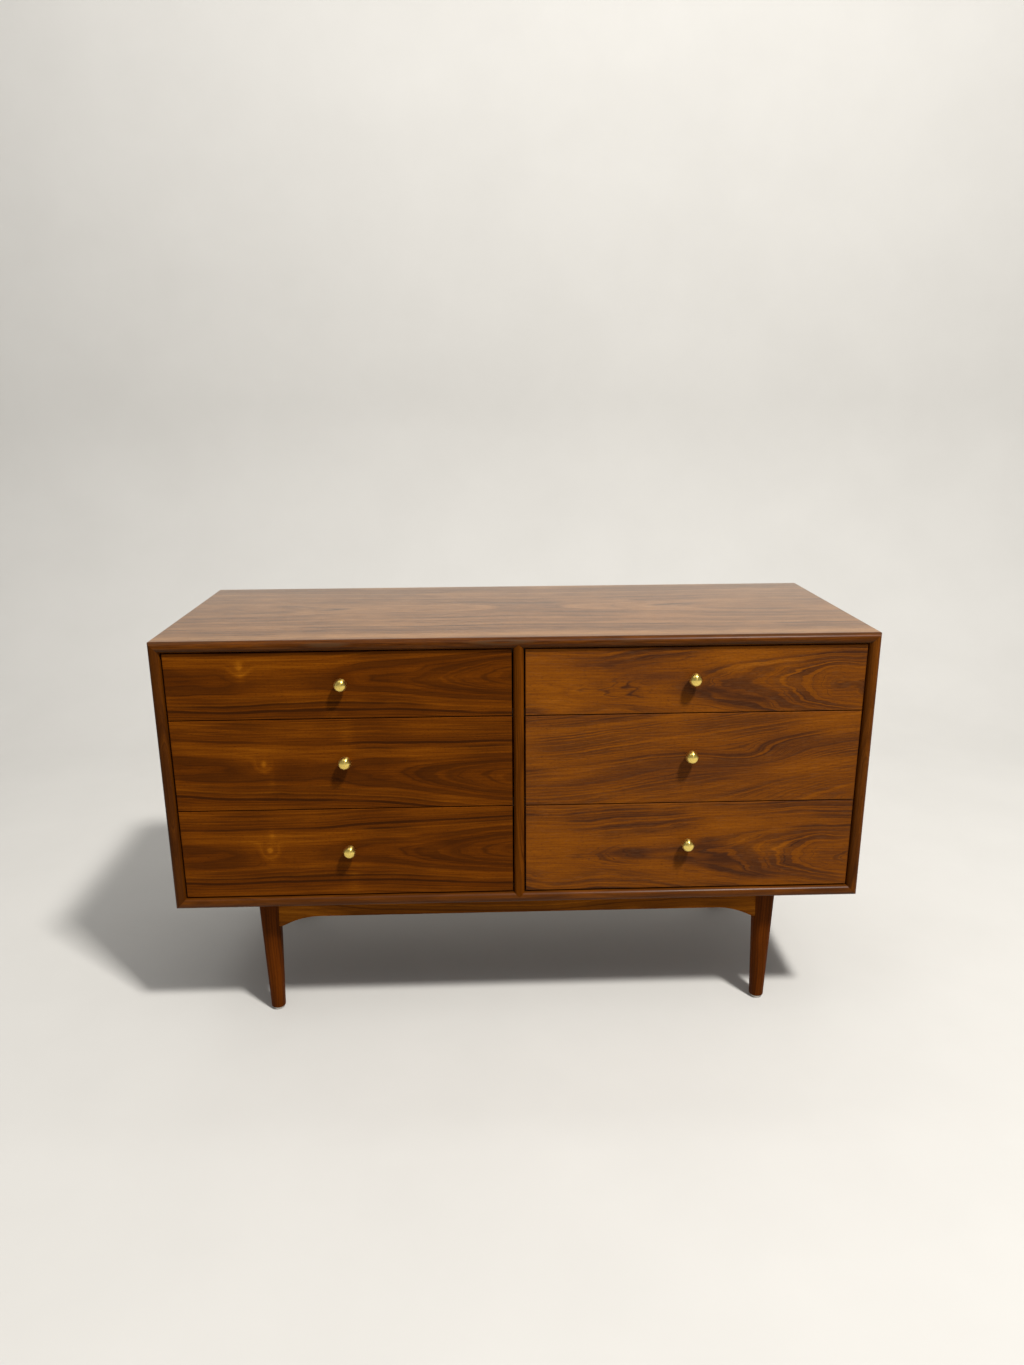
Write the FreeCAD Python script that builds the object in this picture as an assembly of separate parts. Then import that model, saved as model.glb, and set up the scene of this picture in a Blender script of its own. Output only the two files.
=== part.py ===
import FreeCAD, Part
import math
import os

# A low six-drawer dresser in walnut: a mitred case on four tapered legs joined by arched aprons.
# Frame: X to the right, Y to the back, Z up, millimetres. The origin is on the floor, under the
# middle of the whole piece, knobs included.
# A depth is always counted backwards from the front plane of the case.

# ---- the case -------------------------------------------------------------------------------
CASE_WIDTH = 1320.0
CASE_DEPTH = 514.0
CASE_HEIGHT = 526.0
CASE_LIFT = 260.0          # clear height under the case
PANEL = 20.0               # thickness of top, bottom and sides
DIVIDER = 19.0             # thickness of the upright between the two columns
NOSE = 9.0                 # how far the rounded front edges stand ahead of the flat faces
ARRIS = 1.5                # radius of the four long outer corners
VEE = 7.5                  # how far the divider's pointed ends reach into top and bottom
VEE_RUN = 14.0             # how far back those points go
TONGUE = 6.0               # thickness of the divider's hidden tongues
TONGUE_DEPTH = 5.0
TONGUE_START = 24.0        # depth at which tongues and their grooves start
BACK_PANEL = 6.0
BACK_INSET = 2.0           # the back panel lies this far inside the rear edges
REBATE = 8.0               # width of the step that holds the back panel

# ---- drawers --------------------------------------------------------------------------------
FACE_SETBACK = 8.0         # drawer faces behind the front plane
FRONT_BOARD = 19.0
SIDE_GAP = 3.0
TOP_GAP = 2.0
ROW_GAP = 2.0
BOTTOM_GAP = 3.0
TOP_FRONT_HEIGHT = 125.0
FRONT_EASE = 1.0           # radius on the edges of each face
SIDE_BOARD = 12.0
BOTTOM_BOARD = 6.0
BOX_LENGTH = 478.0         # from the face to the rear end of the sides
BOX_TOP_DROP = 12.0        # top of the sides below the top of the front
BACK_DROP = 6.0            # top of the drawer's back below the top of its sides
GROOVE_RISE = 10.0         # bottom board above the lower edge of the sides
GROOVE_DEPTH = 5.0
GROOVE_PLAY = 0.5
TAIL_LENGTH = 13.0         # half-blind dovetails, hidden from the face by the rest of the front
TAIL_PITCH = 36.0
TAIL_SLOPE = 1.0 / 7.0
TAIL_PIN = 4.0             # narrowest width of the pins between tails
RUNNING_PLAY = 0.3         # between a drawer and what it slides on

# ---- rails and runners ----------------------------------------------------------------------
RAIL = 18.0                # thickness of the rails hidden behind the drawer fronts
RAIL_DEPTH = 60.0
RAIL_HOUSING = 6.0         # how deep a rail's ends sit in side and divider
RAIL_PLAY = 0.5            # between a rail and the back of a closed front
RUNNER_WIDTH = 20.0
KICKER_PLAY = 1.5

# ---- knobs ----------------------------------------------------------------------------------
KNOB_RADIUS = 12.0
KNOB_CENTRE = 14.5         # middle of the ball ahead of the drawer face
KNOB_FOOT_RADIUS = 5.2
KNOB_NECK_RADIUS = 4.2
KNOB_FACE_EDGE = 8.5       # where the ball turns into its flatter face
KNOB_FACE_RADIUS = 20.0
KNOB_INSET = 4.0           # knobs sit this much nearer the middle of the dresser
KNOB_RISE_TOP = 4.0        # and this much above the middle of the front
KNOB_RISE_LOWER = 7.5
KNOB_HOLE_DEPTH = 11.0
KNOB_SCREW_RADIUS = 2.0
KNOB_SCREW_REACH = 9.0     # length of screw inside the knob
KNOB_SCREW_HEAD_RADIUS = 4.5
KNOB_SCREW_HEAD = 3.0

# ---- base -----------------------------------------------------------------------------------
LEG_X = 494.0              # leg axes each side of the middle
LEG_SETBACK = 64.0         # leg axes inside the front and rear planes
LEG_TOP_SIDE = 40.0        # legs are square with rounded corners under the case
LEG_TOP_CORNER = 8.0
LEG_FOOT_SIDE = 28.0       # and taper to a nearly round foot
LEG_FOOT_CORNER = 13.0
LEG_FOOT_EASE = 1.5
GLIDE_SHOW = 5.5           # nylon showing under the wood
GLIDE_RADIUS = 10.5
GLIDE_EASE = 1.5
GLIDE_PIN_RADIUS = 2.0
GLIDE_PIN = 14.0
APRON = 22.0               # thickness of the aprons
APRON_FACE = 14.0          # outer face of an apron outside the leg axes
APRON_HEIGHT = 47.0
APRON_END_HEIGHT = 68.0
BRACKET_START = 99.0       # where the arch starts to fall, from the leg axis
BRACKET_END = 24.0         # and where it meets the leg
APRON_EASE = 2.0
COPE_PLAY = 0.2            # between a leg and the shoulder of an apron
TENON = 8.0
TENON_TIP = 8.0            # tenons stop this far from the leg axis
TENON_ROOT = 6.0           # and start this far inside the shoulder
TENON_TOP = 10.0
TENON_HEIGHT = 40.0

# ---- screws ---------------------------------------------------------------------------------
# shank radius, head radius, head height and shank length of each kind
BACK_SCREW = (1.75, 3.5, 2.0, 18.0)
BASE_SCREW = (2.25, 4.5, 2.6, 40.0)
SCREW_HOLE_PLAY = 0.1
BACK_SCREW_EDGE = 4.0      # back screws outside the clear opening of the case
BACK_SCREW_CORNER = 65.0   # from a corner of the opening to the nearest back screw
BASE_SCREW_SEAT = 27.0     # base screw heads below the top of an apron
BASE_SCREW_SPAN = 640.0    # from the first to the last screw of a long apron
BASE_SCREW_SPAN_SHORT = 140.0
COUNTERBORE_RADIUS = 5.5
SLOT_WIDTH = 0.9
SLOT_DEPTH = 1.0

# ---- what follows from them -----------------------------------------------------------------
KNOB_FACE_START = KNOB_CENTRE + math.sqrt(KNOB_RADIUS ** 2 - KNOB_FACE_EDGE ** 2)
KNOB_FACE_CENTRE = KNOB_FACE_START - math.sqrt(KNOB_FACE_RADIUS ** 2 - KNOB_FACE_EDGE ** 2)
KNOB_LENGTH = KNOB_FACE_CENTRE + KNOB_FACE_RADIUS
KNOB_PROUD = KNOB_LENGTH - FACE_SETBACK
FRONT_PLANE = (KNOB_PROUD - CASE_DEPTH) / 2.0

CASE_TOP = CASE_LIFT + CASE_HEIGHT
HALF_WIDTH = CASE_WIDTH / 2.0
HALF_OPENING = HALF_WIDTH - PANEL
FLOOR_OF_CASE = CASE_LIFT + PANEL
CEILING_OF_CASE = CASE_TOP - PANEL
BACK_FACE = CASE_DEPTH - BACK_INSET - BACK_PANEL

FRONT_WIDTH = HALF_OPENING - DIVIDER / 2.0 - 2.0 * SIDE_GAP
COLUMN_X = DIVIDER / 2.0 + SIDE_GAP + FRONT_WIDTH / 2.0
FRONTS_TOTAL = CASE_HEIGHT - 2.0 * PANEL - TOP_GAP - BOTTOM_GAP - 2.0 * ROW_GAP
LOWER_FRONT_HEIGHT = (FRONTS_TOTAL - TOP_FRONT_HEIGHT) / 2.0
FRONT_BACK = FACE_SETBACK + FRONT_BOARD
BOX_BOTTOM_RISE = RAIL / 2.0 - ROW_GAP / 2.0 + RUNNING_PLAY
RAIL_FRONT = FRONT_BACK + RAIL_PLAY

COLUMNS = {"left": -1, "right": 1}
ROW_BOTTOMS = {
    "bottom": FLOOR_OF_CASE + BOTTOM_GAP,
    "middle": FLOOR_OF_CASE + BOTTOM_GAP + LOWER_FRONT_HEIGHT + ROW_GAP,
    "top": CEILING_OF_CASE - TOP_GAP - TOP_FRONT_HEIGHT,
}
ROW_HEIGHTS = {"bottom": LOWER_FRONT_HEIGHT, "middle": LOWER_FRONT_HEIGHT, "top": TOP_FRONT_HEIGHT}
KNOB_RISES = {"bottom": KNOB_RISE_LOWER, "middle": KNOB_RISE_LOWER, "top": KNOB_RISE_TOP}
RAIL_LEVELS = [ROW_BOTTOMS["middle"] - ROW_GAP / 2.0, ROW_BOTTOMS["top"] - ROW_GAP / 2.0]

UP = FreeCAD.Vector(0, 0, 1)
DOWN = FreeCAD.Vector(0, 0, -1)
FORWARD = FreeCAD.Vector(0, -1, 0)
BACKWARD = FreeCAD.Vector(0, 1, 0)
ORIGIN = FreeCAD.Vector(0, 0, 0)


# ---- small tools ----------------------------------------------------------------------------
def at(x, depth, z):
    """A point given by its depth behind the front plane of the case."""
    return FreeCAD.Vector(x, FRONT_PLANE + depth, z)


def board(x_range, depth_range, z_range):
    """A plain rectangular piece."""
    x_low, x_high = sorted(x_range)
    start, end = depth_range
    bottom, top = z_range
    return Part.makeBox(x_high - x_low, end - start, top - bottom, at(x_low, start, bottom))


def prism(corners, sweep):
    """A closed outline of straight lines, swept along a vector."""
    return Part.Face(Part.makePolygon(corners + corners[:1])).extrude(sweep)


def turned(edges, place, axis):
    """A turned piece: its half outline lies in the XZ plane, and its own axis is Z."""
    solid = Part.Face(Part.Wire(edges)).revolve(ORIGIN, UP, 360)
    solid.Placement = FreeCAD.Placement(place, FreeCAD.Rotation(UP, axis))
    return solid


def line(start, end):
    """A straight edge of a turned outline, between two (radius, height) points."""
    return Part.LineSegment(FreeCAD.Vector(start[0], 0, start[1]),
                            FreeCAD.Vector(end[0], 0, end[1])).toShape()


def arc(start, middle, end):
    """A round edge of a turned outline, through three (radius, height) points."""
    points = [FreeCAD.Vector(radius, 0, height) for radius, height in (start, middle, end)]
    return Part.Arc(*points).toShape()


def hole(radius, length, mouth, axis):
    return Part.makeCylinder(radius, length, mouth, axis)


def side_of(column, distance):
    """An x position counted outwards from the middle of the dresser."""
    return COLUMNS[column] * distance


# ---- the case -------------------------------------------------------------------------------
def nosed_face(thickness, across, start):
    """The section of a panel with a round front edge; across is the direction of its thickness."""
    def corner(part_way, depth):
        return start + across * (thickness * part_way) + BACKWARD * depth

    nose = Part.Arc(corner(0, NOSE), corner(0.5, 0), corner(1, NOSE)).toShape()
    right = Part.LineSegment(corner(1, NOSE), corner(1, CASE_DEPTH)).toShape()
    rear = Part.LineSegment(corner(1, CASE_DEPTH), corner(0, CASE_DEPTH)).toShape()
    left = Part.LineSegment(corner(0, CASE_DEPTH), corner(0, NOSE)).toShape()
    return Part.Face(Part.Wire([nose, right, rear, left]))


def case_outline():
    """The outer shape of the case, with its four long corners slightly rounded."""
    block = board((-HALF_WIDTH, HALF_WIDTH), (0, CASE_DEPTH), (CASE_LIFT, CASE_TOP))
    along_depth = [edge for edge in block.Edges if abs(edge.tangentAt(0).y) > 0.5]
    return block.makeFillet(ARRIS, along_depth)


def mitre_limit(edge_name):
    """The wedge-ended block that one of the four outer panels is kept within."""
    outer = [at(-HALF_WIDTH, 0, CASE_LIFT), at(HALF_WIDTH, 0, CASE_LIFT),
             at(HALF_WIDTH, 0, CASE_TOP), at(-HALF_WIDTH, 0, CASE_TOP)]
    inner = [at(-HALF_OPENING, 0, FLOOR_OF_CASE), at(HALF_OPENING, 0, FLOOR_OF_CASE),
             at(HALF_OPENING, 0, CEILING_OF_CASE), at(-HALF_OPENING, 0, CEILING_OF_CASE)]
    first = ["bottom", "right", "top", "left"].index(edge_name)
    second = (first + 1) % 4
    return prism([outer[first], outer[second], inner[second], inner[first]],
                 BACKWARD * CASE_DEPTH)


def back_rebate():
    return board((-HALF_OPENING - REBATE, HALF_OPENING + REBATE), (BACK_FACE, CASE_DEPTH),
                 (FLOOR_OF_CASE - REBATE, CEILING_OF_CASE + REBATE))


def vee(level, direction):
    """The pointed block at one end of the divider; direction is 1 upwards and -1 downwards."""
    half = DIVIDER / 2.0
    return prism([at(-half, 0, level), at(half, 0, level), at(0, 0, level + direction * VEE)],
                 BACKWARD * VEE_RUN)


def divider_tongue(level, direction):
    far = level + direction * TONGUE_DEPTH
    return board((-TONGUE / 2.0, TONGUE / 2.0), (TONGUE_START, BACK_FACE),
                 (min(level, far), max(level, far)))


def level_panel(edge_name):
    """The top or the bottom of the case."""
    is_top = edge_name == "top"
    start = CEILING_OF_CASE if is_top else CASE_LIFT
    inner_face = CEILING_OF_CASE if is_top else FLOOR_OF_CASE
    direction = 1 if is_top else -1
    section = nosed_face(PANEL, UP, at(-HALF_WIDTH, 0, start))
    panel = section.extrude(FreeCAD.Vector(CASE_WIDTH, 0, 0))
    panel = panel.common(mitre_limit(edge_name)).common(case_outline())
    return panel.cut([back_rebate(), vee(inner_face, direction),
                      divider_tongue(inner_face, direction)])


def upright_panel(column):
    """A side of the case, with housings for the rails."""
    start = at(side_of(column, HALF_WIDTH), 0, CASE_LIFT)
    across = FreeCAD.Vector(-COLUMNS[column], 0, 0)
    panel = nosed_face(PANEL, across, start).extrude(UP * CASE_HEIGHT)
    panel = panel.common(mitre_limit(column)).common(case_outline())
    return panel.cut([back_rebate()] + [rail(column, level) for level in RAIL_LEVELS])


def centre_divider():
    """The upright between the columns: round nose, pointed ends and hidden tongues."""
    start = at(-DIVIDER / 2.0, 0, FLOOR_OF_CASE - VEE)
    section = nosed_face(DIVIDER, FreeCAD.Vector(1, 0, 0), start)
    stick = section.extrude(UP * (CEILING_OF_CASE - FLOOR_OF_CASE + 2.0 * VEE))
    middle = board((-DIVIDER, DIVIDER), (0, BACK_FACE), (FLOOR_OF_CASE, CEILING_OF_CASE))
    keep = middle.fuse([vee(CEILING_OF_CASE, 1), vee(FLOOR_OF_CASE, -1)])
    tongues = [divider_tongue(CEILING_OF_CASE, 1), divider_tongue(FLOOR_OF_CASE, -1)]
    rails = [rail(column, level) for column in COLUMNS for level in RAIL_LEVELS]
    return stick.common(keep).fuse(tongues).cut(rails).removeSplitter()


def back_panel():
    return board((-HALF_OPENING - REBATE, HALF_OPENING + REBATE),
                 (BACK_FACE, BACK_FACE + BACK_PANEL),
                 (FLOOR_OF_CASE - REBATE, CEILING_OF_CASE + REBATE))


def rail(column, level):
    """A rail behind the gap between two drawer fronts; it stops the fronts above and below."""
    ends = (side_of(column, DIVIDER / 2.0 - RAIL_HOUSING), side_of(column, HALF_OPENING + RAIL_HOUSING))
    return board(ends, (RAIL_FRONT, RAIL_FRONT + RAIL_DEPTH), (level - RAIL / 2.0, level + RAIL / 2.0))


def runner_pair(column, depth_start, z_range):
    """Two strips, on the case side and on the divider, that run from front to back."""
    inner = DIVIDER / 2.0
    pairs = [(inner, inner + RUNNER_WIDTH), (HALF_OPENING - RUNNER_WIDTH, HALF_OPENING)]
    return [board((side_of(column, near), side_of(column, far)), (depth_start, BACK_FACE), z_range)
            for near, far in pairs]


def drawer_runners():
    """Runners under each drawer, and kickers that keep the top drawers from tipping."""
    strips = []
    box_top = ROW_BOTTOMS["top"] + TOP_FRONT_HEIGHT - BOX_TOP_DROP
    for column in COLUMNS:
        for level in RAIL_LEVELS:
            levels = (level - RAIL / 2.0, level + RAIL / 2.0)
            strips += runner_pair(column, RAIL_FRONT + RAIL_DEPTH, levels)
        lowest = ROW_BOTTOMS["bottom"] + BOX_BOTTOM_RISE - RUNNING_PLAY
        strips += runner_pair(column, RAIL_FRONT, (FLOOR_OF_CASE, lowest))
        strips += runner_pair(column, RAIL_FRONT, (box_top + KICKER_PLAY, CEILING_OF_CASE))
    return strips


# ---- one drawer -----------------------------------------------------------------------------
def drawer_sizes(column, row):
    """The places that every piece of one drawer shares."""
    centre = side_of(column, COLUMN_X)
    bottom = ROW_BOTTOMS[row]
    height = ROW_HEIGHTS[row]
    return {
        "centre": centre,
        "left": centre - FRONT_WIDTH / 2.0,
        "right": centre + FRONT_WIDTH / 2.0,
        "front_z": (bottom, bottom + height),
        "box_z": (bottom + BOX_BOTTOM_RISE, bottom + height - BOX_TOP_DROP),
        "rear": FACE_SETBACK + BOX_LENGTH,
        "knob": at(side_of(column, COLUMN_X - KNOB_INSET), FACE_SETBACK,
                   bottom + height / 2.0 + KNOB_RISES[row]),
    }


def tails(sizes, x_range):
    """The dovetails on the front end of a drawer side."""
    bottom, top = sizes["box_z"]
    count = max(2, round((top - bottom) / TAIL_PITCH))
    pitch = (top - bottom) / count
    tip = (pitch - TAIL_PIN) / 2.0
    root = tip - TAIL_LENGTH * TAIL_SLOPE
    near = FRONT_BACK
    far = FRONT_BACK - TAIL_LENGTH
    solids = []
    for number in range(count):
        middle = bottom + pitch * (number + 0.5)
        corners = [at(x_range[0], near, middle - root), at(x_range[0], near, middle + root),
                   at(x_range[0], far, middle + tip), at(x_range[0], far, middle - tip)]
        solids.append(prism(corners, FreeCAD.Vector(x_range[1] - x_range[0], 0, 0)))
    return solids


def side_ranges(sizes):
    return {"left": (sizes["left"], sizes["left"] + SIDE_BOARD),
            "right": (sizes["right"] - SIDE_BOARD, sizes["right"])}


def back_ranges(sizes):
    """Left to right, front to rear and bottom to top of the drawer's back."""
    inset = SIDE_BOARD - GROOVE_DEPTH
    rear = sizes["rear"] - SIDE_BOARD / 2.0
    return ((sizes["left"] + inset, sizes["right"] - inset), (rear - SIDE_BOARD, rear),
            (bottom_top_face(sizes), sizes["box_z"][1] - BACK_DROP))


def bottom_top_face(sizes):
    return sizes["box_z"][0] + GROOVE_RISE + BOTTOM_BOARD


def bottom_board(sizes, play):
    """The drawer's bottom, or with play 0 the room its grooves give it."""
    inset = SIDE_BOARD - GROOVE_DEPTH + play
    top = bottom_top_face(sizes)
    rear = sizes["rear"] - SIDE_BOARD / 2.0
    return board((sizes["left"] + inset, sizes["right"] - inset),
                 (FRONT_BACK - GROOVE_DEPTH + play, rear), (top - BOTTOM_BOARD, top))


def drawer_front(sizes):
    """The face board: eased edges, sockets for both sides, a groove and the knob's hole."""
    block = board((sizes["left"], sizes["right"]), (FACE_SETBACK, FRONT_BACK), sizes["front_z"])
    face_y = FRONT_PLANE + FACE_SETBACK
    face_edges = [edge for edge in block.Edges if abs(edge.BoundBox.YMax - face_y) < 0.01]
    block = block.makeFillet(FRONT_EASE, face_edges)
    cuts = [bottom_board(sizes, 0)]
    for x_range in side_ranges(sizes).values():
        cuts += tails(sizes, x_range)
    radius = KNOB_SCREW_RADIUS + SCREW_HOLE_PLAY
    cuts.append(hole(radius, FRONT_BOARD, sizes["knob"], BACKWARD))
    return block.cut(cuts)


def drawer_side(sizes, hand):
    """A side board with its dovetails, a groove for the bottom and a housing for the back."""
    x_range = side_ranges(sizes)[hand]
    plank = board(x_range, (FRONT_BACK, sizes["rear"]), sizes["box_z"])
    plank = plank.fuse(tails(sizes, x_range)).removeSplitter()
    back_x, back_y, back_z = back_ranges(sizes)
    housing = board(back_x, back_y, (back_z[0], sizes["box_z"][1]))
    groove = bottom_board(sizes, 0)
    top = bottom_top_face(sizes)
    open_end = board(back_x, (back_y[1], sizes["rear"]), (top - BOTTOM_BOARD, top))
    return plank.cut([housing, groove, open_end])


def knob(sizes):
    """A turned ball on a short neck, with a flatter face; its axis points forwards."""
    neck_top = KNOB_CENTRE - math.sqrt(KNOB_RADIUS ** 2 - KNOB_NECK_RADIUS ** 2)
    bore = KNOB_SCREW_RADIUS + SCREW_HOLE_PLAY
    face_middle = KNOB_FACE_EDGE / 2.0
    face_rise = KNOB_FACE_CENTRE + math.sqrt(KNOB_FACE_RADIUS ** 2 - face_middle ** 2)
    edges = [
        line((bore, 0), (KNOB_FOOT_RADIUS, 0)),
        line((KNOB_FOOT_RADIUS, 0), (KNOB_NECK_RADIUS, neck_top / 2.0)),
        line((KNOB_NECK_RADIUS, neck_top / 2.0), (KNOB_NECK_RADIUS, neck_top)),
        arc((KNOB_NECK_RADIUS, neck_top), (KNOB_RADIUS, KNOB_CENTRE),
            (KNOB_FACE_EDGE, KNOB_FACE_START)),
        arc((KNOB_FACE_EDGE, KNOB_FACE_START), (face_middle, face_rise), (0, KNOB_LENGTH)),
        line((0, KNOB_LENGTH), (0, KNOB_HOLE_DEPTH)),
        line((0, KNOB_HOLE_DEPTH), (bore, KNOB_HOLE_DEPTH)),
        line((bore, KNOB_HOLE_DEPTH), (bore, 0)),
    ]
    return turned(edges, sizes["knob"], FORWARD)


def knob_screw(sizes):
    seat = sizes["knob"] + BACKWARD * FRONT_BOARD
    return screw(seat, FORWARD, (KNOB_SCREW_RADIUS, KNOB_SCREW_HEAD_RADIUS, KNOB_SCREW_HEAD,
                                 FRONT_BOARD + KNOB_SCREW_REACH))


# ---- screws ---------------------------------------------------------------------------------
def screw(seat, direction, sizes):
    """A slotted screw whose head bears on its seat and whose shank points along direction."""
    shank_radius, head_radius, head_height, length = sizes
    tip = length - shank_radius
    rim = 0.5 * head_height
    edges = [
        line((0, length), (0.3 * shank_radius, length)),
        line((0.3 * shank_radius, length), (shank_radius, tip)),
        line((shank_radius, tip), (shank_radius, 0)),
        line((shank_radius, 0), (head_radius, 0)),
        line((head_radius, 0), (head_radius, -rim)),
        line((head_radius, -rim), (0.7 * head_radius, -head_height)),
        line((0.7 * head_radius, -head_height), (0, -head_height)),
        line((0, -head_height), (0, length)),
    ]
    piece = turned(edges, seat, direction)
    slot = Part.makeBox(2.0 * head_radius + 1.0, SLOT_WIDTH, SLOT_DEPTH)
    slot.translate(FreeCAD.Vector(-head_radius - 0.5, -SLOT_WIDTH / 2.0, -head_height))
    slot.Placement = FreeCAD.Placement(seat, FreeCAD.Rotation(UP, direction)).multiply(slot.Placement)
    return piece.cut(slot)


def spaced(low, high, count):
    """Evenly spaced positions from low to high, both ends included."""
    return [low + (high - low) * number / (count - 1) for number in range(count)]


def back_screw_seats():
    """Where the back panel is screwed to the case and the divider."""
    level_low = FLOOR_OF_CASE - BACK_SCREW_EDGE
    level_high = CEILING_OF_CASE + BACK_SCREW_EDGE
    outer = HALF_OPENING + BACK_SCREW_EDGE
    last = outer - BACK_SCREW_CORNER
    spots = [(x, z) for x in spaced(-last, last, 6) for z in (level_low, level_high)]
    heights = spaced(level_low + BACK_SCREW_CORNER, level_high - BACK_SCREW_CORNER, 3)
    spots += [(x, z) for x in (-outer, 0.0, outer) for z in heights]
    return [at(x, BACK_FACE + BACK_PANEL, z) for x, z in spots]


def base_screw_seats():
    """Where the aprons are screwed up into the bottom of the case."""
    middle = APRON_FACE - APRON / 2.0
    front = LEG_SETBACK - middle
    rear = CASE_DEPTH - front
    height = CASE_LIFT - BASE_SCREW_SEAT
    half_span = BASE_SCREW_SPAN / 2.0
    seats = [at(x, depth, height) for x in spaced(-half_span, half_span, 3) for depth in (front, rear)]
    first = (CASE_DEPTH - BASE_SCREW_SPAN_SHORT) / 2.0
    seats += [at(x, depth, height) for x in (-LEG_X - middle, LEG_X + middle)
              for depth in (first, first + BASE_SCREW_SPAN_SHORT)]
    return seats


def wood_screws():
    screws = [screw(seat, FORWARD, BACK_SCREW) for seat in back_screw_seats()]
    screws += [screw(seat, UP, BASE_SCREW) for seat in base_screw_seats()]
    return screws


def screw_holes():
    """The room around every wood screw's shank, and the counterbores under the aprons."""
    holes = []
    for seat in back_screw_seats():
        holes.append(hole(BACK_SCREW[0] + SCREW_HOLE_PLAY, BACK_SCREW[3], seat, FORWARD))
    for seat in base_screw_seats():
        holes.append(hole(BASE_SCREW[0] + SCREW_HOLE_PLAY, BASE_SCREW[3], seat, UP))
        holes.append(hole(COUNTERBORE_RADIUS, APRON_END_HEIGHT, seat, DOWN))
    return holes


# ---- the base -------------------------------------------------------------------------------
LEG_PLACES = {
    "front_left": (-LEG_X, LEG_SETBACK),
    "front_right": (LEG_X, LEG_SETBACK),
    "back_left": (-LEG_X, CASE_DEPTH - LEG_SETBACK),
    "back_right": (LEG_X, CASE_DEPTH - LEG_SETBACK),
}


def rounded_start(radius, ease):
    """The underside of a turned disc: flat, then round up to its full radius."""
    corner = ease * (1.0 - math.sqrt(0.5))
    return [line((0, 0), (radius - ease, 0)),
            arc((radius - ease, 0), (radius - corner, corner), (radius, ease))]


def leg_section(place, side, corner, height):
    """A square with rounded corners about the axis of a leg."""
    x, depth = LEG_PLACES[place]
    half = side / 2.0
    flat = half - corner
    bulge = flat + corner * math.sqrt(0.5)
    edges = []
    for quarter in range(4):
        turn = FreeCAD.Rotation(UP, 90.0 * quarter)
        start, end, middle, after = (
            at(x, depth, height) + turn.multVec(FreeCAD.Vector(out, along, 0))
            for out, along in ((half, -flat), (half, flat), (bulge, bulge), (flat, half))
        )
        edges += [Part.LineSegment(start, end).toShape(), Part.Arc(end, middle, after).toShape()]
    return Part.Wire(edges)


def leg_blank(place, play):
    """The whole taper of a leg with an eased foot, made larger all round by play."""
    eased = play - LEG_FOOT_EASE
    sections = [
        leg_section(place, LEG_FOOT_SIDE + 2.0 * eased, LEG_FOOT_CORNER + eased, GLIDE_SHOW),
        leg_section(place, LEG_FOOT_SIDE + 2.0 * play, LEG_FOOT_CORNER + play, GLIDE_SHOW + LEG_FOOT_EASE),
        leg_section(place, LEG_TOP_SIDE + 2.0 * play, LEG_TOP_CORNER + play, CASE_LIFT),
    ]
    return Part.makeLoft(sections, True, True)


def leg(place, tenons):
    x, depth = LEG_PLACES[place]
    pin_room = hole(GLIDE_PIN_RADIUS + SCREW_HOLE_PLAY, GLIDE_PIN + 1.0, at(x, depth, GLIDE_SHOW), UP)
    return leg_blank(place, 0).cut(tenons + [pin_room])


def foot_glide(place):
    """A nylon disc with a rounded rim, held by its own pin."""
    x, depth = LEG_PLACES[place]
    pin_end = GLIDE_SHOW + GLIDE_PIN
    edges = rounded_start(GLIDE_RADIUS, GLIDE_EASE) + [
        line((GLIDE_RADIUS, GLIDE_EASE), (GLIDE_RADIUS, GLIDE_SHOW)),
        line((GLIDE_RADIUS, GLIDE_SHOW), (GLIDE_PIN_RADIUS, GLIDE_SHOW)),
        line((GLIDE_PIN_RADIUS, GLIDE_SHOW), (GLIDE_PIN_RADIUS, pin_end)),
        line((GLIDE_PIN_RADIUS, pin_end), (0, pin_end)),
        line((0, pin_end), (0, 0)),
    ]
    return turned(edges, at(x, depth, 0), UP)


def apron_blank(half_span):
    """An arched apron between two leg axes, centred on the origin with its face towards -Y."""
    straight = half_span - BRACKET_START
    end = half_span - BRACKET_END
    drop = APRON_END_HEIGHT - APRON_HEIGHT
    run = end - straight
    radius = (run ** 2 + drop ** 2) / (2.0 * drop)
    fall = radius - math.sqrt(radius ** 2 - (run / 2.0) ** 2)

    def spot(x, below):
        return FreeCAD.Vector(x, -APRON_FACE, CASE_LIFT - below)

    def bracket(sign):
        return Part.Arc(spot(sign * straight, APRON_HEIGHT),
                        spot(sign * (straight + run / 2.0), APRON_HEIGHT + fall),
                        spot(sign * end, APRON_END_HEIGHT)).toShape()

    outline = [spot(-end, APRON_END_HEIGHT), spot(-half_span, APRON_END_HEIGHT),
               spot(-half_span, 0), spot(half_span, 0),
               spot(half_span, APRON_END_HEIGHT), spot(end, APRON_END_HEIGHT)]
    edges = [Part.LineSegment(first, second).toShape() for first, second in zip(outline, outline[1:])]
    middle = Part.LineSegment(spot(straight, APRON_HEIGHT), spot(-straight, APRON_HEIGHT)).toShape()
    blank = Part.Face(Part.Wire(edges + [bracket(1), middle, bracket(-1)])).extrude(BACKWARD * APRON)
    lowest = CASE_LIFT - APRON_HEIGHT + 0.01
    lower_edges = [edge for edge in blank.Edges
                   if edge.BoundBox.ZMax < lowest and edge.BoundBox.YLength < 0.01
                   and abs(edge.CenterOfMass.x) < end]
    return blank.makeFillet(APRON_EASE, lower_edges)


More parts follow.
